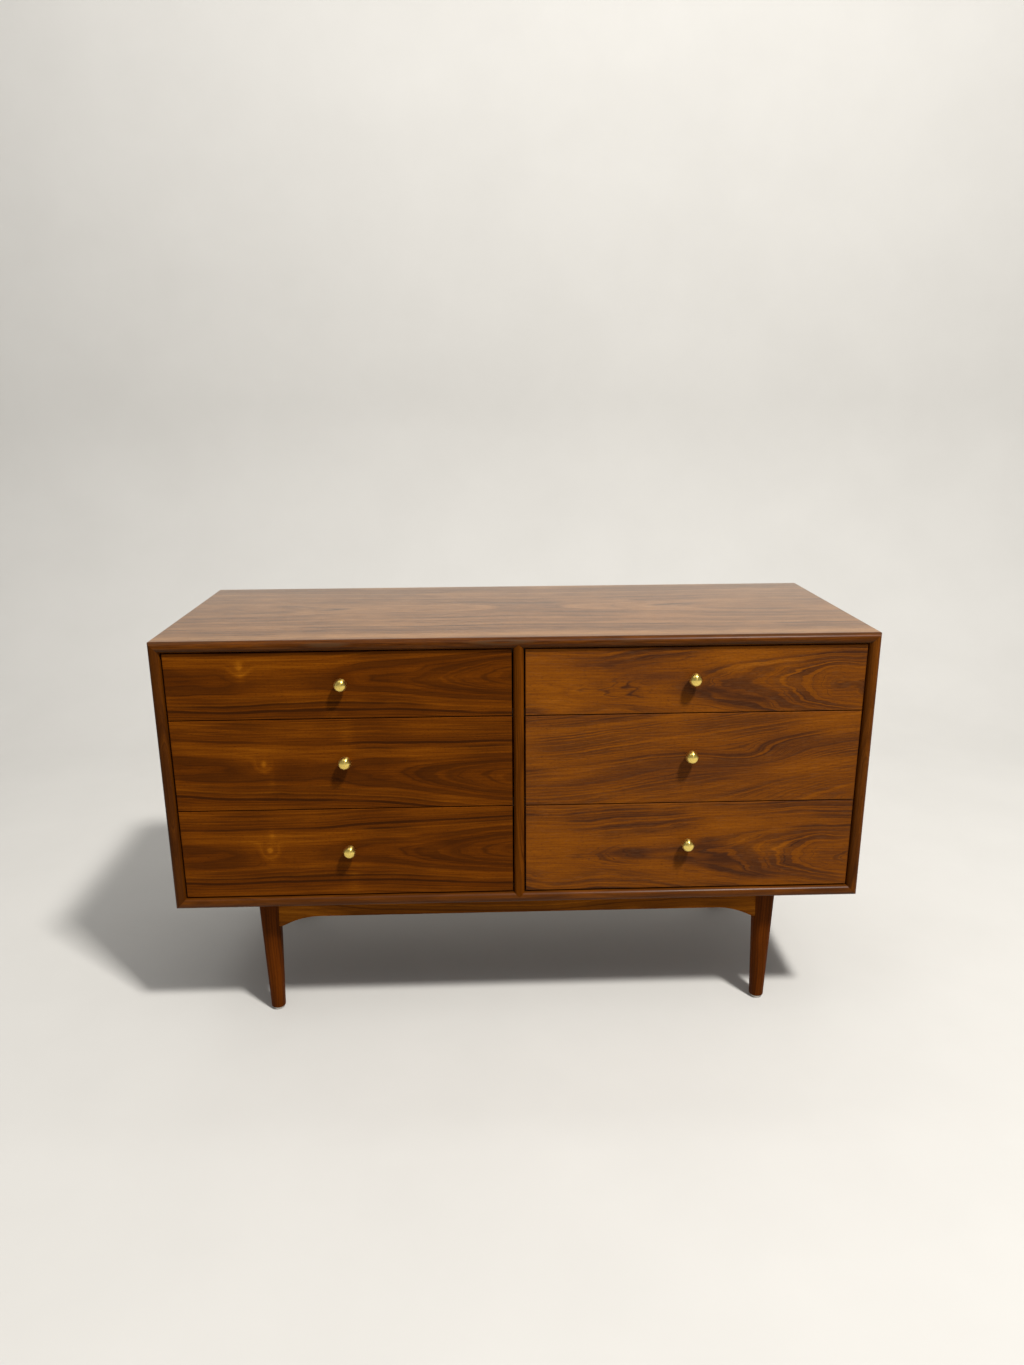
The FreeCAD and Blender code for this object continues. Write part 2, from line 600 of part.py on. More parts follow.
def apron_tenons(half_span):
    """The two tenons of an apron, in the same place as its blank."""
    middle = -APRON_FACE + APRON / 2.0
    start = half_span - LEG_TOP_SIDE / 2.0 - TENON_ROOT
    length = half_span - TENON_TIP - start
    low = CASE_LIFT - TENON_TOP - TENON_HEIGHT
    corners = [(start, middle - TENON / 2.0, low),
               (-start - length, middle - TENON / 2.0, low)]
    return [Part.makeBox(length, TENON, TENON_HEIGHT, FreeCAD.Vector(*corner)) for corner in corners]


APRON_PLACES = {
    # name: half the distance between its legs, turn about Z in degrees, x and depth of its middle
    "front": (LEG_X, 0, 0, LEG_SETBACK),
    "back": (LEG_X, 180, 0, CASE_DEPTH - LEG_SETBACK),
    "left": (CASE_DEPTH / 2.0 - LEG_SETBACK, -90, -LEG_X, CASE_DEPTH / 2.0),
    "right": (CASE_DEPTH / 2.0 - LEG_SETBACK, 90, LEG_X, CASE_DEPTH / 2.0),
}


def placed(shape, name):
    half_span, turn, x, depth = APRON_PLACES[name]
    copy = shape.copy()
    copy.Placement = FreeCAD.Placement(at(x, depth, 0), FreeCAD.Rotation(UP, turn))
    return copy


def tenons_of(name):
    return [placed(tenon, name) for tenon in apron_tenons(APRON_PLACES[name][0])]


def apron(name, holes):
    """An apron with shoulders that fit against its legs, and its tenons."""
    blank = placed(apron_blank(APRON_PLACES[name][0]), name)
    body = blank.cut([leg_blank(place, COPE_PLAY) for place in LEG_PLACES])
    body = max(body.Solids, key=lambda solid: solid.Volume)
    return body.fuse(tenons_of(name)).cut(holes).removeSplitter()


# ---- everything -----------------------------------------------------------------------------
def case_nodes(holes):
    return {
        "top_panel": level_panel("top").cut(holes),
        "bottom_panel": level_panel("bottom").cut(holes),
        "left_side_panel": upright_panel("left").cut(holes),
        "right_side_panel": upright_panel("right").cut(holes),
        "centre_divider": centre_divider().cut(holes),
        "back_panel": back_panel().cut(holes),
        "drawer_rails": [rail(column, level) for column in COLUMNS for level in RAIL_LEVELS],
        "drawer_runners": drawer_runners(),
        "wood_screws": wood_screws(),
    }


def base_nodes(holes):
    tenons = [tenon for name in APRON_PLACES for tenon in tenons_of(name)]
    nodes = {place + "_leg": leg(place, tenons) for place in LEG_PLACES}
    nodes.update({name + "_apron": apron(name, holes) for name in APRON_PLACES})
    nodes["foot_glides"] = [foot_glide(place) for place in LEG_PLACES]
    return nodes


def drawer_nodes(column, row):
    sizes = drawer_sizes(column, row)
    name = column + "_" + row + "_drawer_"
    return {
        name + "front": drawer_front(sizes),
        name + "left_side": drawer_side(sizes, "left"),
        name + "right_side": drawer_side(sizes, "right"),
        name + "back": board(*back_ranges(sizes)),
        name + "bottom": bottom_board(sizes, GROOVE_PLAY),
        name + "knob": knob(sizes),
        name + "knob_screw": knob_screw(sizes),
    }


def main():
    os.makedirs("parts", exist_ok=True)
    holes = screw_holes()
    nodes = case_nodes(holes)
    nodes.update(base_nodes(holes))
    for column in COLUMNS:
        for row in ROW_BOTTOMS:
            nodes.update(drawer_nodes(column, row))
    for name, shape in nodes.items():
        solids = shape if isinstance(shape, list) else shape.Solids
        piece = solids[0] if len(solids) == 1 else Part.makeCompound(solids)
        piece.exportStep("parts/" + name + ".step")
        print(name, len(solids), "solid(s)", round(piece.Volume / 1000.0, 1), "cm3", piece.isValid())
    print(len(nodes), "nodes; front plane at y", round(FRONT_PLANE, 3))


main()
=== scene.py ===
# %% [markdown]
# # A low walnut dresser
#
# The lesson dresses up a finished design. The design comes as a frame of plain solids, one for
# every board, knob and screw. We keep each solid whose shape is right and give it a real finish,
# and we turn, sweep or cut a finer piece where a plain solid would show its facets.
#
# Everything is in metres. X runs to the right, Y to the back and Z up, and the drawers look
# towards -Y.

import math

import bmesh
import bpy
from mathutils import Matrix, Vector


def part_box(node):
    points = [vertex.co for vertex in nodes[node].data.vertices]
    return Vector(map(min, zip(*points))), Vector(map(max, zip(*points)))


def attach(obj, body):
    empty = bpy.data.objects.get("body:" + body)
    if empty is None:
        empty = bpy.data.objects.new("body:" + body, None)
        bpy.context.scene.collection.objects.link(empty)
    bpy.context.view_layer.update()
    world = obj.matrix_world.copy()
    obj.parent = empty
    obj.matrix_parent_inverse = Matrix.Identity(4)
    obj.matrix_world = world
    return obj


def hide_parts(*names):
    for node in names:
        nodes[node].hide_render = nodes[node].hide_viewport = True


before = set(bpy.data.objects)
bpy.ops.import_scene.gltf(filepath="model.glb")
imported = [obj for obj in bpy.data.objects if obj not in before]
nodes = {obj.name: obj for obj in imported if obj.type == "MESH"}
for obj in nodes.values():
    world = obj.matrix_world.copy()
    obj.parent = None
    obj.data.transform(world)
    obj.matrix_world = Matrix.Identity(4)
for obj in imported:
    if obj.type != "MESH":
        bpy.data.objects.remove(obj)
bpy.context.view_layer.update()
scene = bpy.context.scene

# %% [markdown]
# ## Measures read from the frame
#
# The case is a box of four mitred boards. Its outer faces, its clear opening and the thickness of
# its boards all follow from the boxes of a few nodes, so nothing has to be typed twice. Only the
# small shapes within a board are named here: how far its rounded front edge bulges, and how much
# its sharp corners are eased.

# %% The case in numbers
top_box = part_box("top_panel")
divider_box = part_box("centre_divider")
back_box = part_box("back_panel")
half_width = -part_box("left_side_panel")[0].x
case_top = top_box[1].z
case_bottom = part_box("bottom_panel")[0].z
front_plane = top_box[0].y
rear_plane = top_box[1].y
case_depth = rear_plane - front_plane
panel = top_box[1].z - top_box[0].z
divider = divider_box[1].x - divider_box[0].x
rebate_depth = rear_plane - back_box[0].y
rebate_width = back_box[1].x - (half_width - panel)
nose = 0.009
arris = 0.0015
print("case", 2 * half_width, case_depth, case_top - case_bottom, "panel", panel)

# %% [markdown]
# ## The camera
#
# The camera is held at chest height, a step and a half in front of the dresser and a little to
# the left, and looks slightly down. Placing it first keeps every later choice honest: grain that
# looks right from here has the right size. Roll is a turn about the camera's own line of sight,
# so it is the last factor of the product.

# %% Place the camera
eye_ahead = 1.682
eye_height = 1.188
eye_left = 0.063
look_down = math.radians(16.04)
look_right = math.radians(1.73)
roll = math.radians(-0.38)
focal_length_mm = 25.54

lens = bpy.data.cameras.new("eye")
lens.lens = focal_length_mm
lens.sensor_width = 36.0
lens.clip_end = 50.0
camera = bpy.data.objects.new("eye", lens)
scene.collection.objects.link(camera)
camera.matrix_world = (
    Matrix.Translation((-eye_left, front_plane - eye_ahead, eye_height))
    @ Matrix.Rotation(-look_right, 4, "Z")
    @ Matrix.Rotation(math.pi / 2 - look_down, 4, "X")
    @ Matrix.Rotation(roll, 4, "Z")
)
scene.camera = camera
print("camera at", [round(v, 3) for v in camera.matrix_world.translation])

# %% [markdown]
# ## Shader maths that reads like maths
#
# A finish is a web of small nodes. Wiring each one by hand hides the idea, so one class wraps a
# socket and lets us write `1 - mask` or `a * b + c`. Vectors go through Vector Math, because a
# plain Math node would squash them to one number.


# %% A socket with arithmetic
class Wire:
    """One output socket, with the usual operators."""

    def __init__(self, finish, socket):
        self.finish = finish
        self.socket = socket

    def join(self, operation, first, second):
        pair = (first, second)
        is_vector = any(isinstance(end, Wire) and end.socket.type == "VECTOR" for end in pair)
        kind = "ShaderNodeVectorMath" if is_vector else "ShaderNodeMath"
        return self.finish.node(kind, {"operation": operation}, {0: first, 1: second})

    def __add__(self, other):
        return self.join("ADD", self, other)

    def __radd__(self, other):
        return self.join("ADD", other, self)

    def __sub__(self, other):
        return self.join("SUBTRACT", self, other)

    def __rsub__(self, other):
        return self.join("SUBTRACT", other, self)

    def __mul__(self, other):
        return self.join("MULTIPLY", self, other)

    def __rmul__(self, other):
        return self.join("MULTIPLY", other, self)

    def __truediv__(self, other):
        return self.join("DIVIDE", self, other)

    def __rtruediv__(self, other):
        return self.join("DIVIDE", other, self)

    def __neg__(self):
        return self.join("MULTIPLY", self, -1.0)

    def apply(self, operation):
        """A Math function of one value, such as SQRT or ABSOLUTE."""
        return self.finish.node("ShaderNodeMath", {"operation": operation}, {0: self})

    def parts(self):
        """The three numbers of a vector."""
        split = self.finish.node("ShaderNodeSeparateXYZ", {}, {0: self})
        outputs = split.socket.node.outputs
        return [Wire(self.finish, outputs[index]) for index in range(3)]


# %% [markdown]
# A second class owns the material and makes any other node from its type, its settings and what
# its sockets hold. Noise is measured in repeats per metre, so a ruler on a board gives its rate.


# %% A finish and its nodes
class Finish:
    """A material under construction."""

    def __init__(self, name):
        self.material = bpy.data.materials.new(name)
        self.material.use_nodes = True
        self.tree = self.material.node_tree
        self.tree.nodes.clear()

    def node(self, kind, settings, inputs, output=0):
        """Makes a node, sets it up, fills or links its sockets and returns one output."""
        made = self.tree.nodes.new(kind)
        for name, value in settings.items():
            if name == "stops":
                self.set_stops(made.color_ramp, value)
            else:
                setattr(made, name, value)
        for socket, value in inputs.items():
            if isinstance(value, Wire):
                self.tree.links.new(value.socket, made.inputs[socket])
            else:
                self.set_value(made.inputs[socket], value)
        return Wire(self, made.outputs[output]) if len(made.outputs) else None

    @staticmethod
    def set_stops(ramp, stops):
        while len(ramp.elements) < len(stops):
            ramp.elements.new(1.0)
        for element, (place, colour) in zip(ramp.elements, stops):
            element.position = place
            element.color = (*colour, 1.0)

    @staticmethod
    def set_value(socket, value):
        if socket.type in ("VECTOR", "RGBA") and isinstance(value, (int, float)):
            value = (value,) * 3
        if socket.type == "RGBA":
            value = (*value, 1.0)[:4]
        socket.default_value = value

    def place(self):
        """Where a point lies on the resting piece, in metres."""
        return self.node("ShaderNodeTexCoord", {}, {}, "Object")

    def spot(self, grain, centre=(0.0, 0.0, 0.0)):
        """How far a point lies from the centre along the grain, across it and into the wood."""
        parts = (self.place() - tuple(centre)).parts()
        return [parts[axis] for axis in grain]

    def noise(self, vector, rate, detail=2.0, roughness=0.5):
        inputs = {"Vector": vector, "Scale": rate, "Detail": detail, "Roughness": roughness}
        return self.node("ShaderNodeTexNoise", {}, inputs)

    def noise_along(self, value, rate, seed, detail=2.0, roughness=0.5):
        """Noise that changes along one number only."""
        inputs = {"W": value * rate + seed, "Scale": 1.0, "Detail": detail,
                  "Roughness": roughness}
        return self.node("ShaderNodeTexNoise", {"noise_dimensions": "1D"}, inputs)

    def grain_noise(self, spot, rates, shift, detail, roughness):
        """Noise drawn out along the grain; rates are repeats per metre along and across it."""
        along, across, into = spot
        inputs = {0: along * rates[0], 1: across * rates[1], 2: into * rates[1]}
        drawn_out = self.node("ShaderNodeCombineXYZ", {}, inputs)
        return self.noise(drawn_out + shift, 1.0, detail, roughness)

    def smooth_step(self, value, low, high):
        """0 up to low, 1 from high, and a smooth slope between them."""
        inputs = {"Value": value, "From Min": low, "From Max": high}
        return self.node("ShaderNodeMapRange", {"interpolation_type": "SMOOTHSTEP"}, inputs)

    def blend(self, factor, first, second):
        """A mix of two colours."""
        inputs = {0: factor, 6: first, 7: second}
        return self.node("ShaderNodeMix", {"data_type": "RGBA"}, inputs, 2)

    def ramp(self, value, stops):
        return self.node("ShaderNodeValToRGB", {"stops": stops}, {0: value})

    def bump(self, height, strength, distance):
        inputs = {"Height": height, "Strength": strength, "Distance": distance}
        return self.node("ShaderNodeBump", {}, inputs)

    def surface(self, **sockets):
        """The one shader of the finish; a socket's name is written with underscores."""
        inputs = {name.replace("_", " "): value for name, value in sockets.items()}
        shader = self.node("ShaderNodeBsdfPrincipled", {}, inputs)
        self.node("ShaderNodeOutputMaterial", {}, {0: shader})
        print("finish", self.material.name, "has", len(self.tree.nodes), "nodes")
        return self.material


# %% [markdown]
# ## Walnut
#
# Walnut is a stack of growth rings. A board or a veneer is a nearly flat cut through them, close
# to lengthwise, and the figure is where that cut crosses the rings: straight lines far from the
# heart of the log, pointed arches where the cut runs close to it. So the finish works out one
# number for each point, its distance from a wandering heart line, and colours follow that number.
# The heart comes nearest at the pinch and sinks away from it, faster to one side if the log
# leans. A knot bends the rings round itself, so it adds to the distance nearby.
#
# A grain is written as three axes: along it, across it on the face, and into the board.

# %% Which way the grain of a board runs
LYING_FRONT = (0, 2, 1)
LYING_FLAT = (0, 1, 2)
STANDING_SIDE = (2, 1, 0)
STANDING_FRONT = (2, 0, 1)
FRONT_TO_BACK = (1, 2, 0)
FRONT_TO_BACK_FLAT = (1, 0, 2)

# Repeats per metre, along the grain and across it
RIPPLES = (5.0, 26.0)
PATCHES = (5.0, 16.0)
PORES = (130.0, 1700.0)
GLINT_DASHES = (45.0, 620.0)
FIBRES_ACROSS = 380.0

# Each layer of noise starts somewhere else along its line
RISE_SHIFT = 7.3
STREAK_SHIFT = 3.1
RING_SHIFT = 5.7
FINE_LINE_SHIFT = 11.3
BOLD_LINE_SHIFT = 17.9
NO_SHIFT = (0.0, 0.0, 0.0)
print("a pore is about", round(1000 / PORES[1], 1), "mm wide")


# %% The growth rings
def nearness(spot, place_along, place_across, length, height):
    """1 at a place on the board, falling smoothly to 0 around it."""
    off_along = (spot[0] - place_along) / length
    off_across = (spot[1] - place_across) / height
    return (-(off_along * off_along + off_across * off_across)).apply("EXPONENT")


def heart_distance(finish, spot, cut):
    """How far each point of the cut lies from the heart of the log."""
    along, across, into = spot
    seed = cut["seed"]
    sway = finish.noise_along(along, cut["sway_rate"], seed) - 0.5
    rise = finish.noise_along(along, cut["sway_rate"] * 1.3, seed + RISE_SHIFT) - 0.5
    off_pinch = along - cut["pinch"]
    round_pinch = (off_pinch * off_pinch + cut["pinch_size"] ** 2).apply("SQRT")
    sink = (round_pinch + off_pinch * cut["lean"]) * cut["spread"]
    deep = cut["depth"] - sink + rise * cut["rise"] + into
    wide = across - cut["heart"] - along * cut["tilt"] + sway * cut["sway"]
    radius = (wide * wide + deep * deep).apply("SQRT")
    ripple = finish.grain_noise(spot, RIPPLES, (seed, 0.0, 0.0), 3.0, 0.55) - 0.5
    radius = radius + ripple * cut["ripple"]
    for *knot, strength in cut["knots"]:
        radius = radius + nearness(spot, *knot) * strength
    return radius


# %% [markdown]
# Broad streaks, narrow rings, short fibres and slow patches add up to a tone between dark and
# light, and a ramp of five colours turns it into wood. Where the grain turns towards the eye the
# wood seems to glow: a patch with stronger rings in it, where a pale patch is a painted sheen of
# light and a dark patch is dark figure.
#
# Over the tone lie the things that have hard edges. Thin dark lines close some of the rings, and
# a few bold ones run among them. Pores are short dark dashes that cut into the surface. Pale
# dashes painted along some of them are painted glints, light caught on the pore edges. Where a
# veneered board ends in a solid lipping, the lipping has its own colours and its own shine, and
# shows as a stripe along the front edge.

# %% Where the five tones of a wood lie between dark (0) and light (1)
TONE_PLACES = (0.14, 0.34, 0.5, 0.66, 0.86)
# Painted glints: the pale colour of dashes that stand for light caught on the edges of pores.
PAINTED_GLINT = (0.28, 0.15, 0.07)
lipping_depth = 0.011
lipping_blur = 0.0002
fine_line_width = 0.085
bold_line_width = 0.028
bold_line_rate = 0.28
glow_contrast = 4.4
glow_base = 1.2
print("solid lipping", 1000 * lipping_depth, "mm deep")


# %% Thin dark lines where one ring ends and the next begins
def ring_lines(finish, radius, rate, seed, width):
    """1 on a line and 0 beside it; noise crosses its middle value at irregular distances."""
    crossing = (finish.noise_along(radius, rate, seed, 1.0) - 0.5).apply("ABSOLUTE")
    return finish.smooth_step(crossing, width, 0.0)


# %% The finish itself
def walnut(name, grain, centre, cut, tones, roughness=0.42, coat=0.1, lipping_tones=None,
           lipping_coat=0.03):
    """Oiled walnut; tones are five colours from the darkest streak to the lightest wood."""
    finish = Finish(name)
    spot = finish.spot(grain, centre)
    radius = heart_distance(finish, spot, cut)
    seed = cut["seed"]
    streaks = finish.noise_along(radius, cut["streak_rate"], seed + STREAK_SHIFT, 1.0, 0.4)
    rings = finish.noise_along(radius, cut["ring_rate"], seed + RING_SHIFT, 3.0, 0.62)
    fibre_rates = (cut["fibre_rate"], FIBRES_ACROSS)
    fibres = finish.grain_noise(spot, fibre_rates, NO_SHIFT, 3.0, 0.65)
    patches = finish.grain_noise(spot, PATCHES, (0.0, seed, 0.0), 2.0, 0.5)
    tone = (
        (streaks - 0.5) * cut["streak_mix"]
        + (rings - 0.5) * cut["ring_mix"]
        + (fibres - 0.5) * cut["fibre_mix"]
        + (patches - 0.5) * cut["patch_mix"]
        + 0.5
    )
    # Painted sheen: a pale glow paints light shining from the grain; a dark glow is dark figure.
    for *glow, strength in cut["sheen_and_flames"]:
        tone = tone + nearness(spot, *glow) * (rings * glow_contrast - glow_base) * strength
    colour = finish.ramp(tone, list(zip(TONE_PLACES, tones)))
    if lipping_tones:
        behind = finish.place().parts()[1] - (front_plane + lipping_depth)
        veneered = finish.smooth_step(behind, -lipping_blur, lipping_blur)
        lipping = finish.ramp(tone, list(zip(TONE_PLACES, lipping_tones)))
        colour = finish.blend(veneered, lipping, colour)
        coat = veneered * (coat - lipping_coat) + lipping_coat

    line_rate = cut["line_rate"]
    fine_lines = ring_lines(finish, radius, line_rate, seed + FINE_LINE_SHIFT, fine_line_width)
    bold_lines = ring_lines(finish, radius, line_rate * bold_line_rate, seed + BOLD_LINE_SHIFT,
                            bold_line_width)
    in_dark_wood = finish.smooth_step(patches + (streaks - 0.5) * 0.5, 0.68, 0.38)
    lines = (fine_lines * cut["line_mix"] + bold_lines * cut["bold_mix"]) * in_dark_wood
    colour = finish.blend(lines, colour, tones[0])
    pores = finish.smooth_step(finish.grain_noise(spot, PORES, NO_SHIFT, 1.0, 0.5), 0.58, 0.70)
    colour = finish.blend(pores * cut["pore_mix"], colour, tones[0])
    # Painted glints: pale dashes along the pores stand for light caught on their edges.
    glint_grains = finish.grain_noise(spot, GLINT_DASHES, (0.0, 0.0, seed), 1.0, 0.5)
    glints = finish.smooth_step(glint_grains + fine_lines * 0.10, 0.60, 0.72) * cut["glint_mix"]
    colour = finish.blend(glints, colour, PAINTED_GLINT)
    height = rings * 0.25 + fibres * 0.5 - pores * 0.9 - lines * 0.2
    return finish.surface(
        Base_Color=colour,
        Roughness=pores * 0.2 + (1 - tone) * 0.12 + (roughness - 0.06),
        IOR=1.5,
        Specular_IOR_Level=0.02,
        Coat_Weight=coat,
        Coat_Roughness=0.28,
        Coat_IOR=1.5,
        Normal=finish.bump(height, cut["relief"], 0.0003),
    )


# %% [markdown]
# Two logs went into the fronts of this dresser. The left column came from a calm, orange-brown
# one. The right column came from a redder one with dark purple-brown streaks, and its figure is
# stronger; its tones are also painted lighter and bluer, a painted sheen of light on that side.
# The solid edges, the divider and the base are plainer walnut, and the aprons are painted paler
# to stand in for light that the case shades from them. The top has a satin coat, and its tones
# are painted paler and yellower, a painted sheen of the pale wall that it mirrors.

# %% Tones of the two logs and of the solid parts
CALM_TONES = (
    (0.029, 0.0078, 0.0012),
    (0.070, 0.0165, 0.0008),
    (0.106, 0.0255, 0.0008),
    (0.162, 0.0430, 0.0012),
    (0.262, 0.0820, 0.0030),
)
# Redder log, with a painted sheen: these tones are lighter and bluer partly for light on the right
# column.
LIVELY_LOG_AND_SHEEN_TONES = (
    (0.050, 0.0165, 0.0060),
    (0.096, 0.0285, 0.0060),
    (0.145, 0.0410, 0.0038),
    (0.200, 0.0580, 0.0034),
    (0.290, 0.0930, 0.0070),
)
EDGE_TONES = (
    (0.030, 0.0080, 0.0008),
    (0.057, 0.0150, 0.0010),
    (0.079, 0.0215, 0.0012),
    (0.108, 0.0300, 0.0018),
    (0.160, 0.0480, 0.0036),
)
DIVIDER_TONES = (
    (0.044, 0.0110, 0.0006),
    (0.085, 0.0220, 0.0008),
    (0.120, 0.0315, 0.0010),
    (0.160, 0.0430, 0.0016),
    (0.225, 0.0660, 0.0036),
)
# Painted sheen: the top's tones are paler and yellower to stand in for the wall that it mirrors.
SHEEN_PAINTED_TOP_TONES = (
    (0.055, 0.0250, 0.0095),
    (0.122, 0.0550, 0.0195),
    (0.180, 0.0850, 0.0295),
    (0.232, 0.1130, 0.0410),
    (0.305, 0.1580, 0.0640),
)
BASE_TONES = (
    (0.030, 0.0065, 0.0006),
    (0.056, 0.0130, 0.0008),
    (0.081, 0.0180, 0.0010),
    (0.108, 0.0250, 0.0014),
    (0.155, 0.0400, 0.0030),
)
# Painted light: the aprons are paler than the legs to stand in for light that the case shades from
# them.
LIGHT_PAINTED_APRON_TONES = (
    (0.060, 0.0165, 0.0016),
    (0.122, 0.0340, 0.0018),
    (0.174, 0.0500, 0.0022),
    (0.235, 0.0700, 0.0030),
    (0.320, 0.1040, 0.0060),
)
print("middle tones: calm", CALM_TONES[2], "lively", LIVELY_LOG_AND_SHEEN_TONES[2])

# %% [markdown]
# A cut holds everything that the finish can vary: where the heart lies, how it wanders, how dense
# the rings and lines are and how strongly each layer shows. Each board changes only what is
# special about it.

# %% A plain board's cut
PLAIN_CUT = {
    "seed": 1.0,
    "heart": 0.05,
    "tilt": 0.0,
    "pinch": 0.0,
    "pinch_size": 0.05,
    "spread": 0.04,
    "lean": 0.0,
    "depth": 0.07,
    "sway": 0.05,
    "sway_rate": 1.7,
    "rise": 0.03,
    "ripple": 0.010,
    "knots": (),
    "streak_rate": 24.0,
    "ring_rate": 150.0,
    "line_rate": 180.0,
    "fibre_rate": 9.0,
    "streak_mix": 0.4,
    "ring_mix": 0.6,
    "fibre_mix": 0.5,
    "patch_mix": 0.3,
    "sheen_and_flames": (),
    "line_mix": 0.35,
    "bold_mix": 0.55,
    "pore_mix": 0.5,
    "glint_mix": 0.0,
    "relief": 0.3,
}
print("a cut has", len(PLAIN_CUT), "settings")


# %% [markdown]
# ## Building pieces from outlines
#
# Three ways of shaping wood and metal cover the whole dresser. A moulded board or a tapered leg
# is a row of sections with a skin over them. A turned piece is half a section carried round an
# axis. An apron is a sawn outline with a thickness. Each helper makes a closed mesh with sharp
# edges marked, so that round parts shade smoothly and corners stay crisp.

# %% Helpers for meshes
weld_distance = 2e-6


def finish_mesh(name, builder, sharp_above_deg=35.0):
    """Turns a bmesh into an object with smooth faces and marked sharp edges."""
    bmesh.ops.remove_doubles(builder, verts=builder.verts, dist=weld_distance)
    bmesh.ops.dissolve_degenerate(builder, edges=builder.edges, dist=weld_distance)
    bmesh.ops.recalc_face_normals(builder, faces=builder.faces)
    limit = math.radians(sharp_above_deg)
    for face in builder.faces:
        face.smooth = True
    for edge in builder.edges:
        edge.smooth = len(edge.link_faces) == 2 and edge.calc_face_angle(0.0) < limit
    mesh = bpy.data.meshes.new(name)
    builder.to_mesh(mesh)
    builder.free()
    piece = bpy.data.objects.new(name, mesh)
    scene.collection.objects.link(piece)
    return piece


def skin_sides(builder, rings):
    """Faces between rings of points that all have the same count; returns the new vertices."""
    made = [[builder.verts.new(point) for point in ring] for ring in rings]
    for first, second in zip(made, made[1:]):
        for index in range(len(first)):
            after = (index + 1) % len(first)
            builder.faces.new((first[index], first[after], second[after], second[index]))
    return made


def skin_solid(builder, rings):
    """The sides and both ends."""
    made = skin_sides(builder, rings)
    builder.faces.new(made[0][::-1])
    builder.faces.new(made[-1])
    return made


def turned(name, outline, place, axis=Vector((0, 0, 1)), steps=96):
    """A solid of revolution from (radius, height) points; its own Z axis points along axis."""
    builder = bmesh.new()
    made = []
    for number in range(steps):
        turn = 2 * math.pi * number / steps
        direction = Vector((math.cos(turn), math.sin(turn), 0))
        made.append([builder.verts.new(direction * radius + Vector((0, 0, height)))
                     for radius, height in outline])
    for first, second in zip(made, made[1:] + made[:1]):
        for low in range(len(outline) - 1):
            builder.faces.new((first[low], second[low], second[low + 1], first[low + 1]))
    piece = finish_mesh(name, builder)
    facing = axis.to_track_quat("Z", "Y").to_matrix().to_4x4()
    piece.matrix_world = Matrix.Translation(place) @ facing
    return piece


def round_points(centre, radius, start_deg, end_deg, steps):
    """Points on an arc, as (radius, height) pairs; 0 degrees points away from the axis."""
    points = []
    for number in range(steps + 1):
        angle = math.radians(start_deg + (end_deg - start_deg) * number / steps)
        points.append((centre[0] + radius * math.cos(angle),
                       centre[1] + radius * math.sin(angle)))
    return points


def trim(piece, other, operation):
    """Cuts a second mesh from the first, or joins it on; both are used up by it."""
    change = piece.modifiers.new("trim", "BOOLEAN")
    change.operation = operation
    change.solver = "EXACT"
    change.object = other
    bpy.context.view_layer.update()
    seen = piece.evaluated_get(bpy.context.evaluated_depsgraph_get())
    shape = bpy.data.meshes.new_from_object(seen)
    builder = bmesh.new()
    builder.from_mesh(shape)
    bpy.data.objects.remove(other)
    bpy.data.objects.remove(piece)
    bpy.data.meshes.remove(shape)
    return builder


def coat_mesh(piece, material):
    piece.data.materials.clear()
    piece.data.materials.append(material)


def dress(piece, material, body, stands_for):
    """Gives a finished piece its material and its body, and hides the node that it stands for."""
    coat_mesh(piece, material)
    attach(piece, body)
    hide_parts(stands_for)


# %% [markdown]
# ## The case
#
# Top, bottom and sides are 20 mm panels with a rounded solid edge at the front, mitred where they
# meet. Carrying one section along the board and stopping every line of it on the mitre gives all
# four, and the long outer corners are eased by letting the outer face follow a small arc just
# before the mitre. At the back each board has a rebate for the back panel.

# %% The section of a case board
nose_steps = 20
ease_angles_deg = (45, 30, 15, 0)


def nose_points(thickness):
    """(distance from the outer face, depth) points over the rounded front edge."""
    half = thickness / 2
    radius = (half ** 2 + nose ** 2) / (2 * nose)
    opening = math.asin(half / radius)
    points = []
    for number in range(nose_steps + 1):
        angle = -opening + 2 * opening * number / nose_steps
        points.append((half + radius * math.sin(angle), radius * (1 - math.cos(angle))))
    return points


def ease_fall(along):
    """How far the eased corner lies under the outer face, this far from the board's end."""
    return arris - math.sqrt(arris ** 2 - max(0.0, arris - along) ** 2)


def mitred_board(length, place):
    """A board between two mitres; place(along, inward, depth) gives a point of the case."""
    ledge = case_depth - rebate_depth
    section = nose_points(panel) + [
        (panel, ledge), (panel - rebate_width, ledge), (panel - rebate_width, case_depth),
        (0.0, case_depth),
    ]
    rings = []
    for angle in ease_angles_deg:
        start = arris * (1 - math.sin(math.radians(angle)))
        fall = ease_fall(start)
        rings.append([(max(start, inward), max(inward, fall), depth) for inward, depth in section])
    left = [[place(*point) for point in ring] for ring in rings]
    right = [[place(length - along, inward, depth) for along, inward, depth in ring]
             for ring in reversed(rings)]
    builder = bmesh.new()
    skin_solid(builder, left + right)
    return builder


# %% [markdown]
# The divider meets the top and the bottom board in a point: its ends are cut to a shallow arrow
# head, and each board has a notch of the same shape in its rounded edge. A three-cornered block
# cuts the notch. A board's own point is (a, i, d): along it, inward from its outer face and deep.

# %% Cut the four boards
opening_low = case_bottom + panel
opening_high = case_top - panel
vee_reach = 0.0075
vee_run = 0.014
overshoot = 0.002


def notch_block(level, direction):
    """The pointed block where the divider's end runs into a board."""
    half = divider / 2
    rings = [[Vector((-half, y, level)), Vector((half, y, level)),
              Vector((0, y, level + direction * vee_reach))]
             for y in (front_plane - overshoot, front_plane + vee_run)]
    builder = bmesh.new()
    skin_solid(builder, rings)
    return finish_mesh("notch_block", builder)


